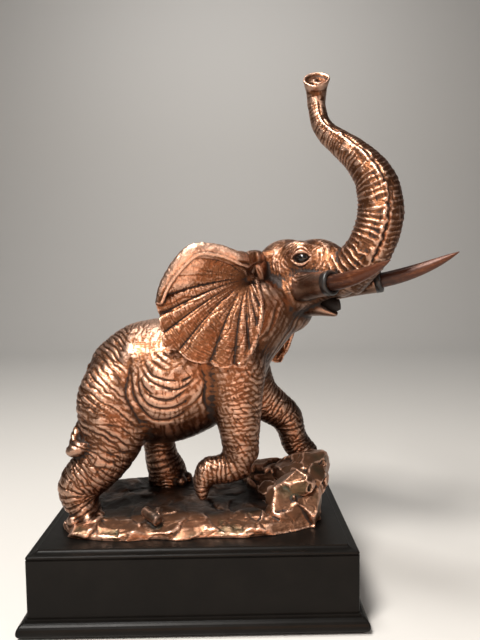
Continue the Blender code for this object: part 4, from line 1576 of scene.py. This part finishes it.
def new_group(name: str, inputs: Sequence[tuple], outputs: Sequence[tuple]) -> bpy.types.ShaderNodeTree:
    """Makes an empty shader node group with named sockets.

    Args:
        name: The group's name.
        inputs: Name, kind and default value of each input.
        outputs: Name and kind of each output.

    Returns:
        The group.
    """
    group = bpy.data.node_groups.new(name, "ShaderNodeTree")
    for label, kind, value in inputs:
        socket = group.interface.new_socket(label, in_out="INPUT", socket_type=kind)
        socket.default_value = value
    for label, kind in outputs:
        group.interface.new_socket(label, in_out="OUTPUT", socket_type=kind)
    return group


class Nodes:
    """Adds and joins the nodes of one tree."""

    def __init__(self, tree: bpy.types.NodeTree) -> None:
        """Args:
            tree: The tree to work on.
        """
        self.tree = tree

    def add(self, kind: str, values: dict | None = None, **settings: object) -> bpy.types.Node:
        """Adds a node.

        Args:
            kind: The node's type name.
            values: Plain values, or sockets to join, for inputs by name or index.
            settings: The node's own settings.

        Returns:
            The node.
        """
        node = self.tree.nodes.new(kind)
        for name, value in settings.items():
            setattr(node, name, value)
        for key, value in (values or {}).items():
            if isinstance(value, bpy.types.NodeSocket):
                self.tree.links.new(value, node.inputs[key])
            else:
                node.inputs[key].default_value = value
        return node

    def join(self, value: bpy.types.NodeSocket, socket: bpy.types.NodeSocket) -> None:
        """Joins an output to an input."""
        self.tree.links.new(value, socket)

    def math(
        self, operation: str, one: object, two: object = 0.0, three: object = 0.0
    ) -> bpy.types.NodeSocket:
        """Adds arithmetic and returns its result."""
        return self.add("ShaderNodeMath", {0: one, 1: two, 2: three}, operation=operation).outputs[0]

    def ramp(self, value: object, low: float, high: float) -> bpy.types.NodeSocket:
        """Adds an easy passage from 0 at low to 1 at high and returns it."""
        node = self.add(
            "ShaderNodeMapRange",
            {"Value": value, "From Min": low, "From Max": high},
            interpolation_type="SMOOTHSTEP",
        )
        return node.outputs["Result"]

    def mix(self, share: object, one: object, two: object) -> bpy.types.NodeSocket:
        """Adds a mix of two colours and returns it."""
        node = self.add("ShaderNodeMix", data_type="RGBA")
        for index, value in ((0, share), (6, one), (7, two)):
            if isinstance(value, bpy.types.NodeSocket):
                self.tree.links.new(value, node.inputs[index])
            elif index:
                node.inputs[index].default_value = (*value, 1.0)
            else:
                node.inputs[index].default_value = value
        return node.outputs[2]

    def attribute(self, name: str) -> bpy.types.NodeSocket:
        """Returns a number that the mesh carries under this name."""
        return self.add("ShaderNodeAttribute", attribute_name=name).outputs["Fac"]

    def noise(
        self, scale: object, detail: float, rough: float, vector: bpy.types.NodeSocket | None = None
    ) -> bpy.types.NodeSocket:
        """Adds noise in the object's own coordinates and returns its value."""
        if vector is None:
            vector = self.add("ShaderNodeTexCoord").outputs["Object"]
        values = {"Vector": vector, "Scale": scale, "Detail": detail, "Roughness": rough}
        return self.add("ShaderNodeTexNoise", values).outputs["Fac"]


def wear_group() -> bpy.types.ShaderNodeTree:
    """Returns the group that tells crests from recesses, with an uneven border; the wear it reads carries
    painted highlights too.
    """
    group = new_group(
        "worn crests and dark recesses",
        [
            ("Wear", "NodeSocketFloat", 0.5),
            ("Hollow", "NodeSocketFloat", 0.5),
            ("Grain", "NodeSocketFloat", 900.0),
        ],
        [(label, "NodeSocketFloat") for label in ("Crest", "Recess", "Blotch")],
    )
    nodes = Nodes(group)
    given = nodes.add("NodeGroupInput").outputs
    grain = nodes.noise(given["Grain"], 5.0, 0.6)
    blotch = nodes.noise(70.0, 4.0, 0.55)
    height = nodes.math("ADD", given["Wear"], nodes.math("MULTIPLY_ADD", grain, 0.22, -0.11))
    deep = nodes.math("MULTIPLY_ADD", given["Hollow"], 0.5, nodes.math("SUBTRACT", 0.75, height))
    out = nodes.add("NodeGroupOutput")
    for label, value in (
        ("Crest", nodes.ramp(height, 0.54, 1.08)),
        ("Recess", nodes.ramp(deep, 0.56, 0.98)),
        ("Blotch", blotch),
    ):
        nodes.join(value, out.inputs[label])
    return group


def grain_group() -> bpy.types.ShaderNodeTree:
    """Returns the group of fine surface grain, as a height and a tone."""
    group = new_group(
        "fine surface grain",
        [("Size", "NodeSocketFloat", 700.0), ("Scratch", "NodeSocketFloat", 0.3)],
        [("Height", "NodeSocketFloat"), ("Tone", "NodeSocketFloat")],
    )
    nodes = Nodes(group)
    given = nodes.add("NodeGroupInput").outputs
    place = nodes.add("ShaderNodeTexCoord").outputs["Object"]
    fine = nodes.noise(given["Size"], 4.0, 0.65, place)
    drawn = nodes.add("ShaderNodeMapping", {"Vector": place, "Scale": (0.25, 0.25, 1.6)}).outputs[0]
    hatch = nodes.noise(given["Size"], 3.0, 0.5, drawn)
    scratches = nodes.math("MULTIPLY", nodes.ramp(hatch, 0.42, 0.60), given["Scratch"])
    out = nodes.add("NodeGroupOutput")
    nodes.join(nodes.math("ADD", fine, scratches), out.inputs["Height"])
    nodes.join(fine, out.inputs["Tone"])
    return group


def crack_group() -> bpy.types.ShaderNodeTree:
    """Returns the group of hairline cracks that follow the limbs."""
    group = new_group(
        "hairline cracks",
        [("Flow", "NodeSocketVector", (0.0, 0.0, 0.0)), ("Size", "NodeSocketFloat", 1.0)],
        [("Crack", "NodeSocketFloat")],
    )
    nodes = Nodes(group)
    given = nodes.add("NodeGroupInput").outputs
    cracks = []
    for scale in ((0.10, 0.10, 0.46), (0.34, 0.34, 0.12)):
        drawn = nodes.add("ShaderNodeMapping", {"Vector": given["Flow"], "Scale": scale}).outputs[0]
        value = nodes.noise(given["Size"], 2.5, 0.55, drawn)
        away = nodes.math("ABSOLUTE", nodes.math("SUBTRACT", value, 0.5))
        cracks.append(nodes.ramp(away, 0.030, 0.004))
    out = nodes.add("NodeGroupOutput")
    weaker = nodes.math("MULTIPLY", cracks[1], 0.6)
    nodes.join(nodes.math("MAXIMUM", cracks[0], weaker), out.inputs["Crack"])
    return group


@dataclass(frozen=True)
class Groups:
    """The node groups that the finishes share."""

    wear_and_highlight: bpy.types.ShaderNodeTree
    grain: bpy.types.ShaderNodeTree
    crack: bpy.types.ShaderNodeTree


def start_material(name: str) -> tuple[bpy.types.Material, Nodes, bpy.types.Node]:
    """Returns a new material, its nodes and its shader."""
    material = bpy.data.materials.new(name)
    material.use_nodes = True
    return material, Nodes(material.node_tree), material.node_tree.nodes["Principled BSDF"]


@dataclass(frozen=True)
class CopperFinish:
    """Polished copper bronze with a dark patina left in its folds, and painted shade and highlights read from
    the mesh.
    """

    name: str
    bright: Triple = (0.81, 0.50, 0.36)
    middle: Triple = (0.25, 0.100, 0.046)
    dark: Triple = (0.022, 0.010, 0.006)
    # The near black of the painted shade, and of the rock's patina.
    painted_shade_and_patina: Triple = (0.010, 0.007, 0.006)
    green: Triple | None = None
    smooth: float = 0.28
    rough: float = 0.50
    crack: float = 0.28
    crack_size: float = 1.0
    bump: float = 0.0005
    metal: float = 1.0

    def build(self, groups: Groups) -> bpy.types.Material:
        """Returns the material."""
        material, nodes, shader = start_material(self.name)
        painted_shade_and_patina = nodes.attribute("painted_shade_and_patina")
        relief = {"Wear": nodes.attribute("wear_and_highlight"), "Hollow": nodes.attribute("hollow")}
        wear_and_highlight = nodes.add("ShaderNodeGroup", relief, node_tree=groups.wear_and_highlight)
        grain = nodes.add("ShaderNodeGroup", {"Size": 620.0, "Scratch": 0.5}, node_tree=groups.grain)
        crest, recess, blotch = (wear_and_highlight.outputs[label] for label in ("Crest", "Recess", "Blotch"))
        flow = nodes.add("ShaderNodeAttribute", attribute_name="flow").outputs["Vector"]
        cracks = nodes.add("ShaderNodeGroup", {"Flow": flow, "Size": self.crack_size}, node_tree=groups.crack)
        clean = nodes.math("SUBTRACT", self.crack, nodes.math("MULTIPLY", painted_shade_and_patina, self.crack))
        line = nodes.math("MULTIPLY", cracks.outputs["Crack"], clean)
        tone = nodes.mix(nodes.ramp(blotch, 0.35, 0.7), tuple(c * 0.72 for c in self.middle), self.middle)
        colour = nodes.mix(crest, tone, self.bright)
        colour = nodes.mix(nodes.math("MAXIMUM", recess, line), colour, self.dark)
        if self.green:
            stain = nodes.math("MULTIPLY", nodes.attribute("green"), nodes.ramp(crest, 0.9, 0.1))
            colour = nodes.mix(nodes.math("MULTIPLY", stain, 0.5), colour, self.green)
        # Painted shade, with the rock's patina, darkens the colour towards near black.
        colour = nodes.mix(nodes.math("MULTIPLY", painted_shade_and_patina, 0.94), colour, self.painted_shade_and_patina)
        nodes.join(colour, shader.inputs["Base Color"])
        matt = nodes.math("MAXIMUM", recess, nodes.math("MULTIPLY", nodes.ramp(painted_shade_and_patina, 0.76, 1.0), 0.8))
        rough = nodes.math("MULTIPLY_ADD", matt, self.rough - self.smooth, self.smooth)
        rough = nodes.math("MULTIPLY_ADD", grain.outputs["Tone"], 0.16, rough)
        nodes.join(rough, shader.inputs["Roughness"])
        nodes.join(nodes.math("MULTIPLY_ADD", matt, -0.55, self.metal), shader.inputs["Metallic"])
        height = nodes.math("SUBTRACT", nodes.math("MULTIPLY", grain.outputs["Height"], 0.35), line)
        bump = nodes.add("ShaderNodeBump", {"Height": height, "Strength": 0.6, "Distance": self.bump})
        nodes.join(bump.outputs[0], shader.inputs["Normal"])
        return material


@dataclass(frozen=True)
class TuskFinish:
    """Orange brown patina, darker at the root, with faint brighter streaks."""

    light: Triple = (0.075, 0.019, 0.005)
    dark: Triple = (0.025, 0.007, 0.003)
    glint: Triple = (0.36, 0.14, 0.06)

    def build(self, groups: Groups) -> bpy.types.Material:
        """Returns the material."""
        material, nodes, shader = start_material("tusk patina")
        grain = nodes.add("ShaderNodeGroup", {"Size": 420.0, "Scratch": 0.4}, node_tree=groups.grain)
        reach = nodes.attribute("reach")
        colour = nodes.mix(nodes.ramp(reach, 0.0, 0.55), self.dark, self.light)
        streak = nodes.math("MULTIPLY", nodes.ramp(grain.outputs["Height"], 0.75, 1.05), 0.2)
        colour = nodes.mix(streak, colour, self.glint)
        nodes.join(colour, shader.inputs["Base Color"])
        rough = nodes.math("MULTIPLY_ADD", grain.outputs["Tone"], 0.2, 0.30)
        nodes.join(rough, shader.inputs["Roughness"])
        shader.inputs["Metallic"].default_value = 0.25
        relief = {"Height": grain.outputs["Height"], "Strength": 0.2, "Distance": 0.0002}
        nodes.join(nodes.add("ShaderNodeBump", relief).outputs[0], shader.inputs["Normal"])
        return material


@dataclass(frozen=True)
class DarkFinish:
    """A dark enamel, a lacquer, or the painted shade inside the mouth, with a little grain and dust."""

    name: str
    colour: Triple
    dust: Triple
    rough: float
    grain: float
    dusty: float = 0.1
    shine: float = 0.5

    def build(self, groups: Groups) -> bpy.types.Material:
        """Returns the material."""
        material, nodes, shader = start_material(self.name)
        grain = nodes.add("ShaderNodeGroup", {"Size": self.grain, "Scratch": 0.5}, node_tree=groups.grain)
        cloud = nodes.noise(26.0, 4.0, 0.6)
        share = nodes.math("MULTIPLY", nodes.ramp(cloud, 0.35, 0.8), self.dusty)
        nodes.join(nodes.mix(share, self.colour, self.dust), shader.inputs["Base Color"])
        shader.inputs["Specular IOR Level"].default_value = self.shine
        uneven = nodes.math("ADD", grain.outputs["Tone"], cloud)
        nodes.join(nodes.math("MULTIPLY_ADD", uneven, 0.10, self.rough), shader.inputs["Roughness"])
        relief = {"Height": grain.outputs["Height"], "Strength": 0.25, "Distance": 0.0001}
        nodes.join(nodes.add("ShaderNodeBump", relief).outputs[0], shader.inputs["Normal"])
        return material


# Pieces


def show(name: str, mesh: bpy.types.Mesh, material: bpy.types.Material) -> bpy.types.Object:
    """Places a finished mesh in the scene.

    Args:
        name: The piece's name.
        mesh: Its mesh, in the drawing.
        material: Its finish.

    Returns:
        The piece, riding on the root body.
    """
    piece = bpy.data.objects.new(name, mesh)
    bpy.context.scene.collection.objects.link(piece)
    mesh.transform(to_object())
    mesh.materials.clear()
    mesh.materials.append(material)
    mesh.shade_smooth()
    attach(piece, "root")
    LOG.info("%s: %d triangles", name, sum(len(face.vertices) - 2 for face in mesh.polygons))
    return piece


def turned(
    name: str,
    centres: np.ndarray,
    radii: Sequence[float],
    sides: int,
    ripple: Callable[[float, float], float],
) -> tuple[bpy.types.Mesh, list[float]]:
    """Makes a closed round form along a curve.

    Args:
        name: The mesh's name.
        centres: Ring centres.
        radii: Ring radii.
        sides: Corners of each ring.
        ripple: Gives how much a corner stands out, by ring share and angle.

    Returns:
        The mesh, and the share of the way of each corner.
    """
    path = Path([(*c, r, r) for c, r in zip(centres, radii)], POSE.across, 1)
    bm = bmesh.new()
    rings = []
    shares = []
    for i, (row, normal, side) in enumerate(zip(path.rows, path.normal, path.side)):
        ring = []
        for k in range(sides):
            angle = math.tau * k / sides
            share = i / (len(path.rows) - 1)
            out = normal * math.cos(angle) + side * math.sin(angle)
            ring.append(bm.verts.new(row[:3] + out * (row[3] + ripple(share, angle))))
            shares.append(share)
        rings.append(ring)
    join_rings(bm, rings)
    bm.faces.new(rings[0])
    bm.faces.new(rings[-1])
    bmesh.ops.recalc_face_normals(bm, faces=bm.faces)
    return mesh_from(bm, name), shares


@dataclass
class Tusk:
    """A tusk and the ring that its collar ends in."""

    mount: TuskMount
    recess: float = 2.0
    root: float = 7.0
    rings: int = 64
    sides: int = 40
    collar_sides: int = 48
    flute: float = 0.11

    def build(self) -> bpy.types.Mesh:
        """Returns the tusk's mesh, a curved tapering horn with faint growth lines."""
        curve = self.mount.centres(self.rings)
        ahead = (curve[1] - curve[0]) / np.linalg.norm(curve[1] - curve[0])
        radius = self.mount.tusk_radius
        centres = np.vstack([curve[0] - ahead * (self.recess + self.root), curve])
        share = np.linspace(0.0, 1.0, self.rings)
        radii = [radius, *(radius * np.maximum(0.06, (1.0 - share**2.2) ** 0.75))]
        chance = random.Random(self.mount.name)
        phases = [chance.uniform(0, math.tau) for _ in range(3)]

        def ripple(part: float, angle: float) -> float:
            """Returns the stand of the flutes that run down the tusk."""
            flute = math.sin(angle * 5 + phases[0] + part * 2) * 0.5 + math.sin(angle * 9 + phases[1]) * 0.3
            ring = math.sin(part * 70 + phases[2] + math.sin(angle * 2)) * 0.25
            return self.flute * (flute + ring) * (1.0 - part) ** 0.5

        mesh, shares = turned(f"tusk_{self.mount.name}", centres, radii, self.sides, ripple)
        reach = mesh.attributes.new("reach", "FLOAT", "POINT")
        reach.data.foreach_set("value", np.array(shares, dtype=np.float32))
        return mesh

    def collar(self) -> bpy.types.Mesh:
        """Returns the dark ring that closes the sleeve round the tusk's root."""
        # The ring has a round lip in front, and its two walls go back into the sleeve.
        curve = self.mount.centres(self.rings)
        ahead = (curve[1] - curve[0]) / np.linalg.norm(curve[1] - curve[0])
        outer = self.mount.collar_radius + 0.15
        inner = self.mount.tusk_radius + 0.3
        steps = []
        for k in range(9):
            angle = math.pi * k / 8
            middle = (outer + inner) / 2
            half = (outer - inner) / 2
            steps.append((1.5 * math.sin(angle) + 0.2, middle + half * math.cos(angle)))
        profile = [(-self.recess - 1.5, outer), *steps, (-self.recess - 1.5, inner)]
        bm = bmesh.new()
        side = np.array(POSE.across) - ahead * np.dot(ahead, POSE.across)
        side /= np.linalg.norm(side)
        normal = np.cross(side, ahead)
        rings = []
        for along, radius in profile:
            ring = []
            for k in range(self.collar_sides):
                angle = math.tau * k / self.collar_sides
                out = normal * math.cos(angle) + side * math.sin(angle)
                ring.append(bm.verts.new(curve[0] + ahead * along + out * radius))
            rings.append(ring)
        join_rings(bm, rings + rings[:1])
        bmesh.ops.recalc_face_normals(bm, faces=bm.faces)
        return mesh_from(bm, f"collar_{self.mount.name}")


def eyeball(eye: Eye, name: str) -> bpy.types.Mesh:
    """Returns the mesh of an eye's ball, sunk between its lids."""
    bm = bmesh.new()
    centre = POSE.at(eye.forward, eye.side * (eye.out - 1.1), eye.up)
    place = Matrix.Translation(centre) @ Matrix.Rotation(-POSE.turn, 4, "Z")
    place = place @ Matrix.Diagonal((eye.ball, eye.ball * 0.8, eye.ball * 0.72, 1.0))
    bmesh.ops.create_icosphere(bm, subdivisions=4, radius=1.0, matrix=place)
    return mesh_from(bm, name)


# The studio


@dataclass(frozen=True)
class Lamp:
    """A soft rectangular light."""

    name: str
    place: Triple
    size: tuple[float, float]
    power: float
    colour: Triple
    target: Triple = (0.02, 0.0, 0.2)

    def build(self) -> None:
        """Adds the light to the scene, turned to what it faces."""
        data = bpy.data.lights.new(self.name, "AREA")
        data.shape = "RECTANGLE"
        data.size, data.size_y = self.size
        data.energy = self.power
        data.color = self.colour
        light = bpy.data.objects.new(self.name, data)
        light.location = self.place
        light.rotation_euler = (Vector(self.target) - light.location).to_track_quat("-Z", "Y").to_euler()
        bpy.context.scene.collection.objects.link(light)


@dataclass
class Studio:
    """A plain pale sweep, soft lights and the photograph's camera."""

    camera_place: Vector = field(default_factory=lambda: Vector((0.0306, -0.4881, 0.2504)))
    yaw: float = 0.0112
    pitch: float = -0.0699
    roll: float = -0.0126
    lens: float = 33.75
    floor_colour: Triple = (0.62, 0.60, 0.57)
    lamps: tuple[Lamp, ...] = (
        Lamp("key", (-0.40, -0.72, 1.25), (0.35, 0.35), 25.0, (1.0, 0.96, 0.91)),
        Lamp("front", (-0.25, -1.20, 0.55), (0.3, 0.3), 2.0, (1.0, 0.97, 0.93)),
        Lamp("top", (-0.25, -0.1, 1.4), (0.35, 0.35), 11.0, (1.0, 0.98, 0.95)),
        Lamp("fill", (0.95, -0.9, 0.7), (0.3, 0.3), 2.2, (1.0, 0.96, 0.92)),
        Lamp("low", (0.15, -0.95, 0.06), (1.0, 0.12), 2.2, (1.0, 0.50, 0.25)),
        Lamp("backdrop", (0.0, 1.2, 1.6), (1.2, 0.4), 9.0, (1.0, 1.0, 1.0), (0.0, 2.6, 0.9)),
    )

    def camera(self) -> None:
        """Adds the camera, turned and rolled as the photograph's was."""
        data = bpy.data.cameras.new("camera")
        data.lens = self.lens
        data.sensor_width = 36.0
        data.sensor_fit = "AUTO"
        data.clip_start = 0.01
        camera = bpy.data.objects.new("camera", data)
        bpy.context.scene.collection.objects.link(camera)
        ahead = Vector(
            (
                math.sin(self.yaw) * math.cos(self.pitch),
                math.cos(self.yaw) * math.cos(self.pitch),
                math.sin(self.pitch),
            )
        )
        level = Vector((math.cos(self.yaw), -math.sin(self.yaw), 0.0))
        above = level.cross(ahead)
        right = level * math.cos(self.roll) + above * math.sin(self.roll)
        top = above * math.cos(self.roll) - level * math.sin(self.roll)
        turn = Matrix((right, top, -ahead)).transposed()
        camera.matrix_world = Matrix.Translation(self.camera_place) @ turn.to_4x4()
        bpy.context.scene.camera = camera

    def sweep(self) -> None:
        """Adds the pale floor, which curves up behind."""
        bm = bmesh.new()
        # Where the floor starts and ends, the bend's radius, and the height and half width of it all.
        near, far, radius, high, wide = -1.6, 1.5, 0.9, 3.2, 3.5
        profile = [(near, 0.0), (far, 0.0)]
        for k in range(1, 17):
            angle = math.pi / 2 * k / 16
            profile.append((far + radius * math.sin(angle), radius * (1 - math.cos(angle))))
        profile.append((far + radius, high))
        rows = [[bm.verts.new((x, y, z)) for y, z in profile] for x in (-wide, wide)]
        for k in range(len(profile) - 1):
            bm.faces.new((rows[0][k], rows[1][k], rows[1][k + 1], rows[0][k + 1]))
        mesh = mesh_from(bm, "sweep")
        mesh.shade_smooth()
        sweep = bpy.data.objects.new("sweep", mesh)
        bpy.context.scene.collection.objects.link(sweep)
        material, _, shader = start_material("pale paper")
        shader.inputs["Base Color"].default_value = (*self.floor_colour, 1.0)
        shader.inputs["Roughness"].default_value = 0.85
        mesh.materials.append(material)

    def build(self) -> None:
        """Adds everything that isn't part of the object."""
        self.camera()
        self.sweep()
        for lamp in self.lamps:
            lamp.build()
        world = bpy.data.worlds.new("room")
        world.use_nodes = True
        background = world.node_tree.nodes["Background"]
        background.inputs["Color"].default_value = (0.80, 0.84, 0.90, 1.0)
        background.inputs["Strength"].default_value = 0.06
        bpy.context.scene.world = world
        bpy.context.scene.view_settings.view_transform = "Standard"


def finishes() -> dict[str, bpy.types.Material]:
    """Returns the finish of each piece, by the start of the piece's name."""
    groups = Groups(wear_group(), grain_group(), crack_group())
    enamel = DarkFinish("black enamel", (0.013, 0.012, 0.012), (0.10, 0.09, 0.08), rough=0.22, grain=900.0)
    glossy = DarkFinish(
        "glossy eye", (0.008, 0.006, 0.005), (0.05, 0.03, 0.02), rough=0.03, grain=300.0, dusty=0.0
    )
    lacquer = DarkFinish(
        "black lacquer", (0.004, 0.0035, 0.003), (0.03, 0.026, 0.022), rough=0.28, grain=260.0, shine=0.12
    )
    # The near black inside the mouth is painted shade.
    shade_sheet = DarkFinish(
        "painted mouth shade", (0.010, 0.007, 0.006), (0.03, 0.02, 0.015), rough=0.4, grain=500.0, shine=0.3
    )
    copper = CopperFinish("polished copper bronze").build(groups)
    rock = CopperFinish(
        "copper rock", middle=(0.27, 0.13, 0.072), green=(0.05, 0.07, 0.04), crack=0.0, metal=0.85
    )
    return {
        "elephant": copper,
        "ear": copper,
        "rock": rock.build(groups),
        "tusk": TuskFinish().build(groups),
        "collar": enamel.build(groups),
        "mouth": shade_sheet.build(groups),
        "eye": glossy.build(groups),
        "plinth": lacquer.build(groups),
    }


def main() -> None:
    """Builds every piece of the sculpture in order, then the studio."""
    logging.basicConfig(level=logging.INFO, format="%(name)s: %(message)s")
    finish = finishes()
    elephant = Elephant()
    mesh = elephant.build()
    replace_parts(show("elephant", mesh, finish["elephant"]), "elephant_and_rock")
    # A dark sheet of painted shade inside the mouth.
    show("mouth_painted_shade", elephant.head.shade_sheet(), finish["mouth"])
    for ear, name in zip(elephant.head.ears, ("ear_right", "ear_left")):
        mesh = ear.build()
        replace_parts(show(name, mesh, finish["ear"]), "elephant_and_rock")
    mesh = Ground().build()
    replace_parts(show("rock", mesh, finish["rock"]), "elephant_and_rock")
    for mount in MOUNTS:
        tusk = Tusk(mount)
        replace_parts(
            show(f"tusk_{mount.name}_horn", tusk.build(), finish["tusk"]), f"tusk_{mount.name}"
        )
        show(f"collar_{mount.name}", tusk.collar(), finish["collar"])
    for eye, name in zip(elephant.head.eyes, ("eye_right", "eye_left")):
        show(name, eyeball(eye, name), finish["eye"])
    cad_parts["plinth"].material_slots[0].material = finish["plinth"]
    LOG.info("plinth: kept from the frame")
    Studio().build()


if __name__ == "__main__":
    main()
